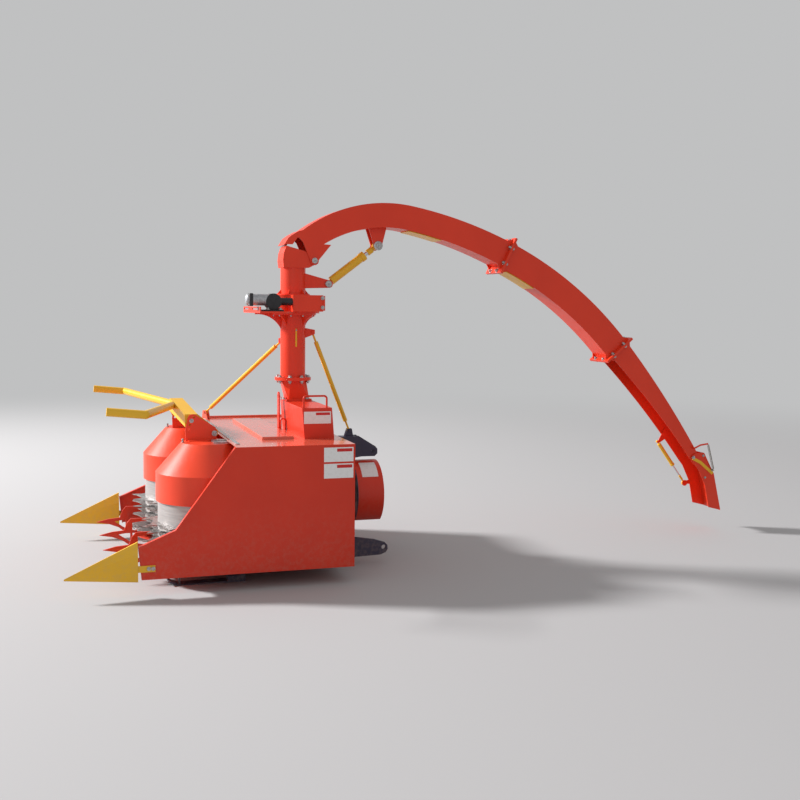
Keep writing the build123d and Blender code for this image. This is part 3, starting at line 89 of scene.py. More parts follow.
# %% Floor
FLOOR_REACH = 300
floor_mesh = bmesh.new()
bmesh.ops.create_grid(floor_mesh, x_segments=1, y_segments=1, size=FLOOR_REACH)
floor_data = bpy.data.meshes.new("floor")
floor_mesh.to_mesh(floor_data)
floor_mesh.free()
floor = bpy.data.objects.new("floor", floor_data)
bpy.context.collection.objects.link(floor)
print("floor reaches", FLOOR_REACH, "metres to each side")

# %% Floor finish
SKY_COLOUR = (0.80, 0.805, 0.81, 1)
SKY_STRENGTH = 0.66
FLOOR_COLOUR = (0.45, 0.44, 0.443, 1)
GLOW_STARTS, GLOW_FULL = 3.5, 15.0      # metres from the floor's middle
floor_finish = bpy.data.materials.new("pale floor")
floor_finish.use_nodes = True
floor_tree = floor_finish.node_tree
floor_shader = floor_tree.nodes["Principled BSDF"]
floor_shader.inputs["Base Color"].default_value = FLOOR_COLOUR
floor_shader.inputs["Roughness"].default_value = 0.9
floor_shader.inputs["Specular IOR Level"].default_value = 0.2
far_glow = floor_tree.nodes.new("ShaderNodeEmission")
far_glow.inputs["Color"].default_value = SKY_COLOUR
far_glow.inputs["Strength"].default_value = SKY_STRENGTH
floor_place = floor_tree.nodes.new("ShaderNodeTexCoord")
from_middle = floor_tree.nodes.new("ShaderNodeVectorMath")
from_middle.operation = "LENGTH"
floor_tree.links.new(floor_place.outputs["Object"], from_middle.inputs[0])
fade = floor_tree.nodes.new("ShaderNodeMapRange")
fade.interpolation_type = "SMOOTHERSTEP"
fade.inputs["From Min"].default_value = GLOW_STARTS
fade.inputs["From Max"].default_value = GLOW_FULL
floor_tree.links.new(from_middle.outputs["Value"], fade.inputs["Value"])
floor_mix = floor_tree.nodes.new("ShaderNodeMixShader")
floor_tree.links.new(fade.outputs["Result"], floor_mix.inputs["Fac"])
floor_tree.links.new(floor_shader.outputs[0], floor_mix.inputs[1])
floor_tree.links.new(far_glow.outputs[0], floor_mix.inputs[2])
floor_tree.links.new(floor_mix.outputs[0], floor_tree.nodes["Material Output"].inputs["Surface"])
floor_data.materials.append(floor_finish)
print("floor glows from", GLOW_STARTS, "metres out, and fully at", GLOW_FULL)

# %% [markdown]
# ## Light
# Most of the light is soft and comes from the sky. One strong lamp stands high, far in front of
# the machine and to its right, so the top edges catch it and the shadow falls behind. A weak
# lamp on the left adds a little gloss to the side that the camera sees.

# %% Lamps and sky


def lamp(name, place, target, size, power):
    """A square area lamp at a place, aimed at a target."""
    data = bpy.data.lights.new(name, "AREA")
    data.size = size
    data.energy = power
    made = bpy.data.objects.new(name, data)
    made.location = place
    made.rotation_mode = "QUATERNION"
    made.rotation_quaternion = (Vector(target) - Vector(place)).to_track_quat("-Z", "Y")
    bpy.context.collection.objects.link(made)


lamp("key_lamp", (-9.2, -17.6, 11.0), target=(0, 0, 0.6), size=2.6, power=8800)
lamp("side_lamp", (7.5, -3.0, 4.2), target=(0, 0, 0.8), size=4.0, power=20)
world = bpy.data.worlds.new("sky")
bpy.context.scene.world = world
world.use_nodes = True
world.node_tree.nodes["Background"].inputs["Color"].default_value = SKY_COLOUR
world.node_tree.nodes["Background"].inputs["Strength"].default_value = SKY_STRENGTH
bpy.context.scene.view_settings.view_transform = "Standard"
print("lamps", [light.name for light in bpy.data.lights])

# %% [markdown]
# ## Materials
# Every finish is built from patterns on the piece's own coordinates, so it needs no image. The
# first helper starts a material and the others add one node each, so a finish reads from top to
# bottom: where the pattern sits, how it varies, what that does to the colour, to the gloss and
# to the fine relief. A Mix node has a set of sockets for each kind of value, and its colours are
# inputs 6 and 7 and output 2.

# %% Coordinates and patterns


def new_finish(name):
    """A material with its shader and the object's coordinates."""
    finish = bpy.data.materials.new(name)
    finish.use_nodes = True
    tree = finish.node_tree
    place = tree.nodes.new("ShaderNodeTexCoord").outputs["Object"]
    return finish, tree, tree.nodes["Principled BSDF"], place


def stretched(tree, place, scale):
    """The same coordinates, scaled differently along each axis."""
    mapping = tree.nodes.new("ShaderNodeMapping")
    mapping.inputs["Scale"].default_value = scale
    tree.links.new(place, mapping.inputs["Vector"])
    return mapping.outputs["Vector"]


def noise(tree, place, scale, detail=4.0, roughness=0.55):
    """Soft random values between 0 and 1."""
    node = tree.nodes.new("ShaderNodeTexNoise")
    node.inputs["Scale"].default_value = scale
    node.inputs["Detail"].default_value = detail
    node.inputs["Roughness"].default_value = roughness
    tree.links.new(place, node.inputs["Vector"])
    return node.outputs["Fac"]


def ramp(tree, value, low, high, out_low=0.0, out_high=1.0):
    """A value spread from one range to another, clamped."""
    node = tree.nodes.new("ShaderNodeMapRange")
    node.inputs["From Min"].default_value = low
    node.inputs["From Max"].default_value = high
    node.inputs["To Min"].default_value = out_low
    node.inputs["To Max"].default_value = out_high
    tree.links.new(value, node.inputs["Value"])
    return node.outputs["Result"]


# %% Colours, products and bumps


def mixed(tree, share, first, second):
    """Two colours, blended by a share from 0 to 1."""
    node = tree.nodes.new("ShaderNodeMix")
    node.data_type = "RGBA"
    tree.links.new(share, node.inputs["Factor"])
    for socket, value in ((node.inputs[6], first), (node.inputs[7], second)):
        if isinstance(value, tuple):
            socket.default_value = (*value, 1)
        else:
            tree.links.new(value, socket)
    return node.outputs[2]


def times(tree, first, second):
    """The product of two values."""
    node = tree.nodes.new("ShaderNodeMath")
    node.operation = "MULTIPLY"
    tree.links.new(first, node.inputs[0])
    tree.links.new(second, node.inputs[1])
    return node.outputs[0]


def relief(tree, shader, height, strength, distance):
    """Fine bumps from a height."""
    node = tree.nodes.new("ShaderNodeBump")
    node.inputs["Strength"].default_value = strength
    node.inputs["Distance"].default_value = distance
    tree.links.new(height, node.inputs["Height"])
    tree.links.new(node.outputs["Normal"], shader.inputs["Normal"])


# %% [markdown]
# ## Paint
# Sprayed enamel on sheet steel is glossy, with a faint orange-peel skin. It fades in broad
# patches and runs in faint streaks, and a film of dust lies low down where the machine stands
# in stubble. The same recipe with other colours gives the red, the yellow and the black.

# %% Paint recipe
DUST = (0.36, 0.27, 0.20)


def paint(name, colour, faded, dust_share=0.3, roughness=0.36, coat=0.12):
    """Sprayed enamel: broad fading, faint runs, specks of dust towards the ground, orange peel."""
    finish, tree, shader, place = new_finish(name)
    fading = ramp(tree, noise(tree, place, 2.2, 3), 0.35, 0.7)
    upright = stretched(tree, place, (9, 9, 1.4))
    runs = ramp(tree, noise(tree, upright, 2.5, 5), 0.5, 0.78)
    height = tree.nodes.new("ShaderNodeSeparateXYZ")
    tree.links.new(place, height.inputs[0])
    near_ground = ramp(tree, height.outputs["Z"], 0.0, 0.5, out_low=1.0, out_high=0.08)
    specks = ramp(tree, noise(tree, place, 38, 8, 0.7), 0.45, 0.8, out_high=dust_share)
    enamel = mixed(tree, fading, colour, faded)
    dusty = mixed(tree, times(tree, specks, near_ground), enamel, DUST)
    tree.links.new(dusty, shader.inputs["Base Color"])
    dullness = ramp(tree, runs, 0, 1, roughness, roughness + 0.16)
    tree.links.new(dullness, shader.inputs["Roughness"])
    shader.inputs["Coat Weight"].default_value = coat
    shader.inputs["Coat Roughness"].default_value = 0.15
    shader.inputs["Specular IOR Level"].default_value = 0.35
    orange_peel = noise(tree, place, 260, 2)
    relief(tree, shader, orange_peel, strength=0.10, distance=0.0006)
    return finish


# %% Paints
body_red = paint("body red enamel", (0.68, 0.032, 0.007), (0.61, 0.027, 0.006))
# The deck's red is lighter and pinker than the body red. This is a painted highlight for the glare of light
# on the deck's top.
deck_red_with_painted_sheen = paint("deck red enamel with painted sheen", (0.76, 0.13, 0.07), (0.70, 0.11, 0.06),
                 dust_share=0.2, roughness=0.25, coat=0.9)
hood_red = paint("drum hood red enamel", (0.84, 0.062, 0.020), (0.77, 0.053, 0.016), dust_share=0.2)
mast_red = paint("mast red enamel", (0.80, 0.042, 0.010), (0.72, 0.036, 0.008), dust_share=0.1)
yellow = paint("warning yellow enamel", (0.82, 0.46, 0.020), (0.76, 0.41, 0.016), dust_share=0.35)
hitch_black = paint("hitch black enamel", (0.035, 0.029, 0.060), (0.050, 0.043, 0.075),
                    dust_share=0.5, roughness=0.42)
paints = body_red, deck_red_with_painted_sheen, hood_red, mast_red, yellow, hitch_black
print("paints", [finish.name for finish in paints])

# %% [markdown]
# ## Bare and coated metals
# Galvanised steel shows a patchwork of crystals, which cells of a Voronoi pattern give.
# The drum shells are rolled steel, worn in rings by the crop, so their noise is stretched
# round the drum by squeezing it along Z. Ground blades are bright with dark heat tints.

# %% Metal recipes


def metal(name, colour, dark, grain=(1, 1, 1), scale=30, roughness=0.38, metallic=0.85, bump=0.15):
    """Bare metal with a stretched grain of two tones, uneven gloss and shallow scratches."""
    finish, tree, shader, place = new_finish(name)
    along = stretched(tree, place, grain)
    tone = ramp(tree, noise(tree, along, scale, 6, 0.65), 0.35, 0.72)
    stain = ramp(tree, noise(tree, place, 5, 4), 0.52, 0.75, out_high=0.75)
    two_tone = mixed(tree, tone, dark, colour)
    stained = mixed(tree, stain, two_tone, dark)
    tree.links.new(stained, shader.inputs["Base Color"])
    shader.inputs["Metallic"].default_value = metallic
    dullness = ramp(tree, tone, 0, 1, roughness + 0.2, roughness)
    tree.links.new(dullness, shader.inputs["Roughness"])
    scratches = noise(tree, along, scale * 6, 3)
    relief(tree, shader, scratches, strength=bump, distance=0.0008)
    return finish


def galvanised(name):
    """Zinc crystals: cells of slightly different grey and gloss."""
    finish, tree, shader, place = new_finish(name)
    cells = tree.nodes.new("ShaderNodeTexVoronoi")
    cells.inputs["Scale"].default_value = 85
    tree.links.new(place, cells.inputs["Vector"])
    shade = tree.nodes.new("ShaderNodeSeparateColor")
    tree.links.new(cells.outputs["Color"], shade.inputs[0])
    grey = mixed(tree, shade.outputs[0], (0.40, 0.42, 0.44), (0.66, 0.68, 0.70))
    tree.links.new(grey, shader.inputs["Base Color"])
    dullness = ramp(tree, shade.outputs[1], 0, 1, 0.28, 0.5)
    tree.links.new(dullness, shader.inputs["Roughness"])
    shader.inputs["Metallic"].default_value = 0.9
    crystals = noise(tree, place, 300, 3)
    relief(tree, shader, crystals, strength=0.08, distance=0.0005)
    return finish


# %% Metals
drum_steel = metal("rolled drum steel", (0.56, 0.53, 0.52), (0.40, 0.37, 0.36),
                   grain=(1, 1, 14), scale=7, roughness=0.42, metallic=0.55)
blade_steel = metal("ground blade steel", (0.62, 0.61, 0.60), (0.22, 0.20, 0.19), scale=26, roughness=0.34)
cast_metal = metal("rough cast iron", (0.075, 0.078, 0.082), (0.03, 0.03, 0.032),
                   scale=60, roughness=0.62, metallic=0.3, bump=0.5)
rod_chrome = metal("hard chrome", (0.80, 0.80, 0.81), (0.58, 0.58, 0.60),
                   grain=(1, 12, 1), scale=14, roughness=0.12, metallic=1.0, bump=0.03)
motor_silver = metal("die-cast motor alloy", (0.60, 0.61, 0.62), (0.36, 0.36, 0.38),
                     scale=45, roughness=0.4, metallic=0.8)
motor_black = metal("black motor enamel", (0.030, 0.030, 0.034), (0.016, 0.016, 0.018),
                    scale=40, roughness=0.4, metallic=0.1, bump=0.3)
plated = metal("plated fastener steel", (0.66, 0.66, 0.67), (0.34, 0.33, 0.32),
               scale=70, roughness=0.3, metallic=0.95)
spring_steel = metal("oiled spring steel", (0.34, 0.28, 0.19), (0.13, 0.11, 0.09),
                     scale=60, roughness=0.36, metallic=0.7)
zinc = galvanised("galvanised steel")
print("finishes so far", len(bpy.data.materials))

# %% [markdown]
# ## A finish for every piece
# A table says which finish each of the machine's pieces wears. A piece that the table leaves
# out is painted body red, like most of the machine.

# %% Assign finishes
worn_by = {
    hood_red: ["left_drum_cap", "right_drum_cap", "bender_ears"],
    deck_red_with_painted_sheen: ["deck", "deck_cover"],
    mast_red: ["mast_neck", "lower_mast", "upper_mast", "slew_platform", "slew_housing", "spout_elbow",
               "spout_section_1", "spout_section_2", "spout_section_3", "deflector_flap"],
    yellow: ["left_divider", "right_divider", "crop_bender", "rear_stay", "front_stay",
             "lift_cylinder_barrel", "trim_cylinder_barrel", "lift_rod_eye", "trim_rod_eye",
             "deflector_straps", "clean_out_covers"],
    # guard_plate is painted black as painted shade. It stands in for the dark inside of the drive guard.
    hitch_black: ["base_frame", "skids", "lower_link_plates", "top_link_bracket", "guard_plate"],
    zinc: ["cap_bars"],
    drum_steel: ["left_drum", "right_drum", "drum_spindles"],
    blade_steel: ["left_star_wheels", "right_star_wheels", "left_knife_disc", "right_knife_disc",
                  "pto_shaft"],
    cast_metal: ["left_feed_roller", "right_feed_roller", "chopper_flywheel", "drive_gearbox"],
    motor_black: ["slew_gear_case"],
    rod_chrome: ["lift_cylinder_rod", "trim_cylinder_rod"],
    motor_silver: ["slew_motor"],
}
for name, node in nodes.items():
    chosen = [finish for finish, names in worn_by.items() if name in names]
    node.data.materials.clear()
    node.data.materials.append(chosen[0] if chosen else body_red)
print("finishes on", len(nodes), "pieces")

# %% [markdown]
# ## How a fitting becomes a piece
# The small fittings are bolts, pins, plates and nipples. Each group that rides together and
# wears one finish is built in one bmesh, and `keep` makes a piece of it.

# %% A piece from a bmesh


def keep(name, mesh, finish, body=None):
    """Make a piece of a bmesh: its finish and the body that carries it."""
    bmesh.ops.recalc_face_normals(mesh, faces=mesh.faces[:])
    data = bpy.data.meshes.new(name)
    mesh.to_mesh(data)
    mesh.free()
    piece = bpy.data.objects.new(name, data)
    bpy.context.collection.objects.link(piece)
    data.materials.append(finish)
    if body:
        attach(piece, body)
    print(name, "faces", len(data.polygons))
    return piece


# %% [markdown]
# ## Sign plates
# Three plain sign plates sit on the machine's left: two on the side panel and one on the tower.
# Each is a thin white sheet with a plain red band near its upper rear corner, without words or
# pictures. The sheets are blocks with rounded edges, and the band is a second block that stands
# a hair proud.

# %% Blocks with rounded edges


def slab(mesh, low, high, rounding):
    """A block between two corners whose edges are rounded."""
    low, high = Vector(low), Vector(high)
    place = Matrix.Translation((low + high) / 2) @ Matrix.Diagonal((*(high - low), 1))
    made = bmesh.ops.create_cube(mesh, size=1, matrix=place)
    edges = list({e for v in made["verts"] for e in v.link_edges})
    bmesh.ops.bevel(mesh, geom=edges, offset=rounding, affect="EDGES", segments=2, profile=0.5, material=-1)


# %% White sheet
sign_white, sign_tree, sign_shader, sign_place = new_finish("white sign sheet")
grime = ramp(sign_tree, noise(sign_tree, sign_place, 60, 6, 0.6), 0.48, 0.8, out_high=0.3)
sign_colour = mixed(sign_tree, grime, (0.80, 0.79, 0.78), (0.50, 0.46, 0.42))
sign_tree.links.new(sign_colour, sign_shader.inputs["Base Color"])
sign_tree.links.new(ramp(sign_tree, grime, 0, 0.3, 0.35, 0.6), sign_shader.inputs["Roughness"])
sign_red = paint("sign band red", (0.62, 0.016, 0.014), (0.55, 0.014, 0.012), dust_share=0.1, roughness=0.4)
print("sign finishes", sign_white.name, "and", sign_red.name)

# %% White plates and their bands
panel_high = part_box("left_side_panel")[1]
tower_low, tower_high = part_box("discharge_tower")
plates = [  # x of the wall, the plate's lowest y and z, its width and its height
    (panel_high.x, panel_high.y - 0.189, panel_high.z - 0.102, 0.178, 0.085),
    (panel_high.x, panel_high.y - 0.189, panel_high.z - 0.199, 0.178, 0.086),
    (tower_high.x, tower_low.y + 0.011, tower_high.z - 0.096, 0.169, 0.074),
]
sheets, bands = bmesh.new(), bmesh.new()
for x, y, z, wide, tall in plates:
    slab(sheets, (x - 0.001, y, z), (x + 0.0012, y + wide, z + tall), rounding=0.0006)
    band_low = (x, y + wide * 0.44, z + tall * 0.70)
    band_high = (x + 0.0018, y + wide * 0.96, z + tall * 0.92)
    slab(bands, band_low, band_high, rounding=0.0003)
keep("side_sign_plates", sheets, sign_white, "frame")
keep("side_sign_bands", bands, sign_red, "frame")

# %% [markdown]
# ## The drive guard's plate
# A fourth plate, without a band, bends round the guard of the drive shaft. One straight edge is
# spun about the guard's axis, so the sheet keeps an even distance from the guard, and Solidify
# gives it its thickness.

# %% Plate on the guard
GUARD_RADIUS = 0.212
PLATE_STARTS, PLATE_TURNS = radians(35), radians(-36)
guard_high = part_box("pto_guard")[1]
guard_axis = Vector((0, 0, guard_high.z - GUARD_RADIUS))
reach = GUARD_RADIUS + 0.0008
edge_x, edge_z = reach * cos(PLATE_STARTS), guard_axis.z + reach * sin(PLATE_STARTS)
wrapped = bmesh.new()
edge = [wrapped.verts.new((edge_x, y, edge_z)) for y in (guard_high.y - 0.03, guard_high.y - 0.14)]
bmesh.ops.spin(wrapped, geom=edge + [wrapped.edges.new(edge)], cent=guard_axis, axis=(0, 1, 0),
               angle=PLATE_TURNS, steps=10)
guard_sign = keep("guard_sign_plate", wrapped, sign_white, "frame")
sheet = guard_sign.modifiers.new("sheet", "SOLIDIFY")
sheet.thickness = 0.0012
sheet.offset = 0

# %% [markdown]
# ## Bolts of the mast
# The neck stands on the tower with four bolts. Eight bolts with nuts below join it to the pipe,
# and ten more reach through the pipe's top flange, where their ends show from below. On a round
# flange, bolts repeat at equal angles, so their places come from one radius and one count. The
# same bmesh takes the bolts of the slewing gear: two on its housing and two on its case. Each
# bolt is two or three short prisms on one seat: the round washer, the hexagon head and, where it
# shows, the thread's end.

# %% Hexagon bolts
WASHER_SUNK, WASHER_THICK = 0.0004, 0.0024
HEAD_FOOT = WASHER_THICK - WASHER_SUNK


def facing(place, axis):
    """The placement that carries +Z to an axis at a point."""
    return Matrix.Translation(place) @ Vector(axis).to_track_quat("Z", "Y").to_matrix().to_4x4()


def prism(mesh, seat, foot, height, radius, sides, taper=1.0):
    """A prism on a seat's axis, from its foot's height on; a taper below 1 narrows its top."""
    middle = seat @ Matrix.Translation((0, 0, foot + height / 2))
    return bmesh.ops.create_cone(mesh, cap_ends=True, segments=sides, radius1=radius,
                                 radius2=radius * taper, depth=height, matrix=middle)


def hex_bolt(mesh, place, axis, flats, thread=0.0, height=0.0):
    """Washer and hexagon head, with the head's rim chamfered, and a thread end if it has one."""
    seat = facing(place, axis)
    height = height or flats * 0.62
    prism(mesh, seat, -WASHER_SUNK, WASHER_THICK, flats * 0.95, 20)
    head = prism(mesh, seat, HEAD_FOOT, height, flats / sqrt(3), 6)
    outward = Vector(axis).normalized()
    rim = [e for e in {e for v in head["verts"] for e in v.link_edges}
           if min((v.co - Vector(place)).dot(outward) for v in e.verts) > height * 0.9]
    bmesh.ops.bevel(mesh, geom=rim, offset=flats * 0.07, affect="EDGES", segments=1, profile=0.5,
                    material=-1)
    if thread:
        prism(mesh, seat, HEAD_FOOT + height - 0.001, thread, flats * 0.32, 14, taper=0.875)


# %% Mast bolts
NECK_FOOT_THICK, PIPE_FLANGE_THICK = 0.014, 0.010
neck_low, neck_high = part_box("mast_neck")
mast_y = (neck_low.y + neck_high.y) / 2


def round_the_mast(count, radius):
    """The x and y of bolts at equal angles, the first one half a step from the X axis."""
    angles = [2 * pi * (i + 0.5) / count for i in range(count)]
    return [(radius * cos(angle), mast_y + radius * sin(angle)) for angle in angles]


bolts = bmesh.new()
for x in (-0.0765, 0.0765):
    for y in (mast_y - 0.0765, mast_y + 0.0765):
        hex_bolt(bolts, (x, y, neck_low.z + NECK_FOOT_THICK), (0, 0, 1), flats=0.017)
for x, y in round_the_mast(count=8, radius=0.1):
    hex_bolt(bolts, (x, y, neck_high.z + PIPE_FLANGE_THICK), (0, 0, 1), flats=0.019)
    hex_bolt(bolts, (x, y, neck_high.z - PIPE_FLANGE_THICK), (0, 0, -1), flats=0.019, thread=0.008)
platform_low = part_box("slew_platform")[0]
for x, y in round_the_mast(count=10, radius=0.128):
    hex_bolt(bolts, (x, y, platform_low.z), (0, 0, -1), flats=0.017, thread=0.010)
print("mast bolts so far", len(bolts.faces), "faces")

# %% Bolts of the slewing gear
housing_low, housing_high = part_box("slew_housing")
for z in (housing_high.z - 0.018, housing_low.z + 0.026):
    hex_bolt(bolts, (housing_high.x, housing_high.y - 0.016, z), (1, 0, 0), flats=0.013)
case_low, case_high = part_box("slew_gear_case")
for y in (case_low.y + 0.03, case_low.y + 0.11):
    hex_bolt(bolts, (case_high.x - 0.012, y, case_low.z + 0.010), (0, 0, 1), flats=0.017)
keep("mast_bolts", bolts, plated, "frame")

# %% [markdown]
# ## The slewing motor's end
# The motor turns the mast by a worm. Its alloy barrel ends in a square black flange with four
# screws, and a round pale cap closes it. The cap is a lathe form: half of its outline, spun once
# about its axis.

# %% Lathe forms


def turned(mesh, seat, outline, steps):
    """Spin an outline of (radius, height) points about Z in a mesh of its own, then add it at its seat."""
    lathe = bmesh.new()
    points = [lathe.verts.new((r, 0, h)) for r, h in outline]
    edges = [lathe.edges.new(pair) for pair in zip(points, points[1:])]
    bmesh.ops.spin(lathe, geom=points + edges, cent=(0, 0, 0), axis=(0, 0, 1), angle=2 * pi, steps=steps,
                   use_merge=True)
    bmesh.ops.remove_doubles(lathe, verts=lathe.verts[:], dist=0.00001)
    lathe.transform(seat)
    made = bpy.data.meshes.new("turned")
    lathe.to_mesh(made)
    lathe.free()
    mesh.from_mesh(made)
    bpy.data.meshes.remove(made)


# %% Motor flange and end cap
FLANGE_HALF, SCREW_AT = 0.040, 0.030
FLANGE_FRONT, FLANGE_BACK = 0.018, 0.040      # measured from the motor's free end
CAP_OUTLINE = [(0, 0.0225), (0.018, 0.0220), (0.029, 0.0185), (0.034, 0.012), (0.0355, 0.004),
               (0.0355, 0), (0, 0)]
motor_low, motor_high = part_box("slew_motor")
motor_end = Vector(((motor_low.x + motor_high.x) / 2, motor_low.y, (motor_low.z + motor_high.z) / 2))
flange = bmesh.new()
slab(flange, motor_end + Vector((-FLANGE_HALF, FLANGE_FRONT, -FLANGE_HALF)),
     motor_end + Vector((FLANGE_HALF, FLANGE_BACK, FLANGE_HALF)), rounding=0.004)
keep("slew_motor_flange", flange, motor_black, "frame")
cap = bmesh.new()
turned(cap, facing(motor_end + Vector((0, 0.020, 0)), (0, -1, 0)), CAP_OUTLINE, steps=32)
keep("slew_motor_cap", cap, motor_silver, "frame")
screws = bmesh.new()
for x in (-SCREW_AT, SCREW_AT):
    for z in (-SCREW_AT, SCREW_AT):
        hex_bolt(screws, motor_end + Vector((x, FLANGE_FRONT, z)), (0, -1, 0), flats=0.009)
keep("slew_motor_screws", screws, plated, "frame")

# %% [markdown]
# ## Bolts on the header
# The two dividers are bolted to the side panels, and a grease nipple stands on each drum hood.
# A nipple is another lathe form, with its hexagon left round, its waist and its ball tip.

# %% Divider bolts and grease nipples
NIPPLE_OUTLINE = [(0, 0), (0.009, 0), (0.009, 0.007), (0.005, 0.009), (0.005, 0.014), (0.0075, 0.017),
                  (0.0075, 0.021), (0.003, 0.025), (0, 0.025)]
header = bmesh.new()
for side, name in ((1, "left_divider"), (-1, "right_divider")):
    low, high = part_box(name)
    outside = high.x if side > 0 else low.x
    for y in (high.y - 0.012, high.y - 0.036):
        hex_bolt(header, (outside, y, low.z + 0.073), (side, 0, 0), flats=0.012, height=0.004)
keep("divider_bolts", header, plated, "frame")
nipples = bmesh.new()
for name in ("left_drum_cap", "right_drum_cap"):
    low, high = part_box(name)
    top = Vector(((low.x + high.x) / 2, low.y + 0.16, high.z - 0.001))
    turned(nipples, facing(top, (0, 0, 1)), NIPPLE_OUTLINE, steps=16)
keep("grease_nipples", nipples, plated, "frame")

# %% [markdown]
# ## Bolts of the crop bender
# The bender turns on two pivot bolts and is held at its setting by two more in the ears' rows
# of holes. They ride on the bender, so they swing with it. The machine's record says where each
# joint is, so the bolts of a pivot take their height and their place fore and aft from it.

# %% Bender bolts
joint_at = {joint["name"]: Vector(joint["pos_m"]) for joint in frame["joints"] if joint.get("pos_m")}
pivot = joint_at["bender_tilt"]
setting = pivot + Vector((0, -0.136, 0.078))
bender_bolts = bmesh.new()
for side in (-1, 1):
    hex_bolt(bender_bolts, (side * 0.380, pivot.y, pivot.z), (side, 0, 0), flats=0.018)
    hex_bolt(bender_bolts, (side * 0.368, setting.y, setting.z), (-side, 0, 0), flats=0.014)
keep("bender_bolts", bender_bolts, plated, "crop_bender")

# %% [markdown]
# ## Pins of the spout
# The spout hinges on two short pins, and its lift cylinder on two long ones. Each shows as a
# turned end with a chamfer and a shallow hollow in its middle.

# %% Pin ends


def pin_ends(mesh, across, middle, radius):
    """Both turned ends of a pin, each as far across from its middle."""
    outline = [(0, 0.002), (radius * 0.16, 0.002), (radius * 0.24, 0.006), (radius * 0.86, 0.006),
               (radius, 0.004), (radius, -0.0005), (0, -0.0005)]
    for side in (-1, 1):
        turned(mesh, facing((side * across, middle.y, middle.z), (side, 0, 0)), outline, steps=28)


hinge, foot = joint_at["spout_lift"], joint_at["lift_barrel_pivot"]
rod_pin = foot + Vector((0, 0.336, 0.257))
hinge_pins, cylinder_foot, cylinder_head = bmesh.new(), bmesh.new(), bmesh.new()
pin_ends(hinge_pins, 0.1055, hinge, radius=0.019)
pin_ends(cylinder_foot, 0.046, foot, radius=0.022)
pin_ends(cylinder_head, 0.046, rod_pin, radius=0.030)
pin_ends(cylinder_head, 0.051, rod_pin, radius=0.018)
keep("spout_hinge_pins", hinge_pins, plated, "spout")
keep("lift_foot_pins", cylinder_foot, plated, "upper_mast")
keep("lift_head_pins", cylinder_head, plated, "spout")

# %% [markdown]
# ## Flange bolts of the spout
# The duct's sections meet in bolted flanges, whose planes lean with the bend. So the bolts are
# placed from the seam's point on the roof, along the duct's slope there and square to it.

# %% Flange bolts
FLANGE_THICK = 0.008
ROW_HALF = 0.055        # the bolts above the roof and below the floor, from the middle
WALL_ROW = 0.117        # the bolts beside the walls, from the middle
BEYOND = 0.020          # from the roof and the floor out to their bolts
seams = [  # y and z of the seam on the roof, the roof's slope in degrees, the duct's depth
    (0.6228, 2.0787, -24.5, 0.188),
    (1.5204, 1.4097, -48.9, 0.182),
]
duct_bolts = bmesh.new()
for y, z, slope, depth in seams:
    onward = Vector((0, cos(radians(slope)), sin(radians(slope))))
    down = Vector((0, sin(radians(slope)), -cos(radians(slope))))
    rim = [(x, deep) for deep in (-BEYOND, depth + BEYOND) for x in (-ROW_HALF, ROW_HALF)]
    rim += [(x, depth * share) for x in (-WALL_ROW, WALL_ROW) for share in (0.2, 0.8)]
    for x, deep in rim:
        spot = Vector((x, y, z)) + down * deep
        hex_bolt(duct_bolts, spot + onward * FLANGE_THICK, onward, flats=0.017)
        hex_bolt(duct_bolts, spot - onward * FLANGE_THICK, -onward, flats=0.017, thread=0.006)
keep("spout_flange_bolts", duct_bolts, plated, "spout")
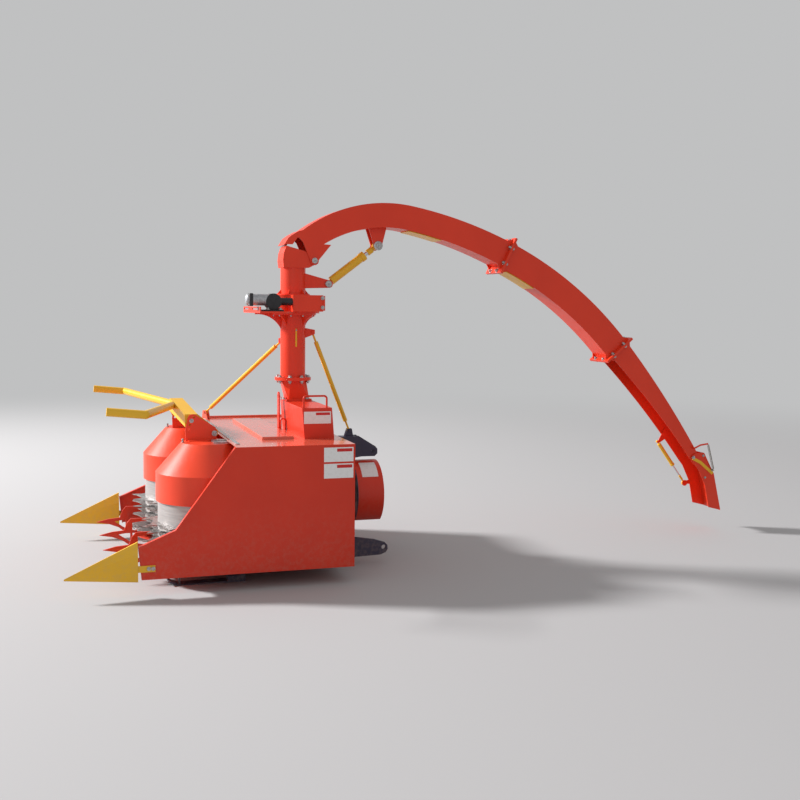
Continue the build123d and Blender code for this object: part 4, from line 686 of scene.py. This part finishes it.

# %% [markdown]
# ## The deflector's spring
# A coil spring joins the spout to the flap. It hooks on a bracket of the spout and on a peg of
# the flap's left strap, and it stays fixed in place, on neither body. The coil is a small circle of
# wire spun in a screw: `spin` takes a step along its axis as well as an angle.

# %% Spring
WIRE_RADIUS, COIL_RADIUS = 0.0019, 0.0068
TURNS, STEPS_A_TURN = 24, 12
flap_hinge = joint_at["deflector_tilt"]
spring_top = flap_hinge + Vector((0.1235, 0.102, 0.104))
spring_foot = flap_hinge + Vector((0.1235, 0.156, -0.088))
spring_length = (spring_foot - spring_top).length
rise = spring_length * 0.95 / (TURNS * STEPS_A_TURN)
wire = bmesh.new()
upright = Matrix.Translation((COIL_RADIUS, 0, 0)) @ Matrix.Rotation(pi / 2, 4, "X")
section = bmesh.ops.create_circle(wire, cap_ends=False, segments=8, radius=WIRE_RADIUS, matrix=upright)
ring_edges = list({e for v in section["verts"] for e in v.link_edges})
bmesh.ops.spin(wire, geom=section["verts"] + ring_edges, cent=(0, 0, 0), axis=(0, 0, 1),
               angle=2 * pi * TURNS, dvec=(0, 0, rise), steps=TURNS * STEPS_A_TURN)
bmesh.ops.holes_fill(wire, edges=[e for e in wire.edges if e.is_boundary])
hung = facing(spring_top, spring_foot - spring_top)
wire.transform(hung @ Matrix.Translation((0, 0, spring_length * 0.04)))
spring = keep("deflector_spring", wire, spring_steel)
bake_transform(spring)

# %% [markdown]
# ## Bolts of the flap
# Two bolts sit on the flap's left cheek. Each strap has a bolt at both ends, and the lower one on
# the left is taller, because it is the peg that the spring's foot hooks on.

# %% Flap bolts
CHEEK_X, STRAP_X = 0.1065, 0.1115
flap_bolts = bmesh.new()
# Each row gives y and z from the flap's hinge, the width across flats and, for a strap, the peg's height.
for y, z, flats in ((0.078, 0.014, 0.010), (0.100, -0.149, 0.009)):
    hex_bolt(flap_bolts, (CHEEK_X, flap_hinge.y + y, flap_hinge.z + z), (1, 0, 0), flats=flats)
for y, z, flats, peg in ((-0.007, 0.003, 0.014, 0.0), (0.156, -0.094, 0.010, 0.017)):
    hex_bolt(flap_bolts, (STRAP_X, flap_hinge.y + y, flap_hinge.z + z), (1, 0, 0), flats=flats, height=peg)
    hex_bolt(flap_bolts, (-STRAP_X, flap_hinge.y + y, flap_hinge.z + z), (-1, 0, 0), flats=flats)
keep("flap_bolts", flap_bolts, plated, "deflector")

# %% [markdown]
# ## The lock lever
# A small yellow lever hangs from its pin on the mast. It is a flat bar with eased edges, so one
# rounded block makes it, and its pin is a lathe form like the nipples.

# %% Lever on the mast
pipe_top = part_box("lower_mast")[1].z
lever = bmesh.new()
slab(lever, (0.0815, mast_y - 0.002, pipe_top - 0.217), (0.0865, mast_y + 0.009, pipe_top - 0.099),
     rounding=0.002)
keep("mast_lever", lever, yellow, "frame")
lever_pin = bmesh.new()
turned(lever_pin, facing((0.080, mast_y + 0.0035, pipe_top - 0.109), (1, 0, 0)),
       [(0, 0), (0.005, 0), (0.005, 0.011), (0.0035, 0.0125), (0, 0.0125)], steps=16)
keep("mast_lever_pin", lever_pin, plated, "frame")
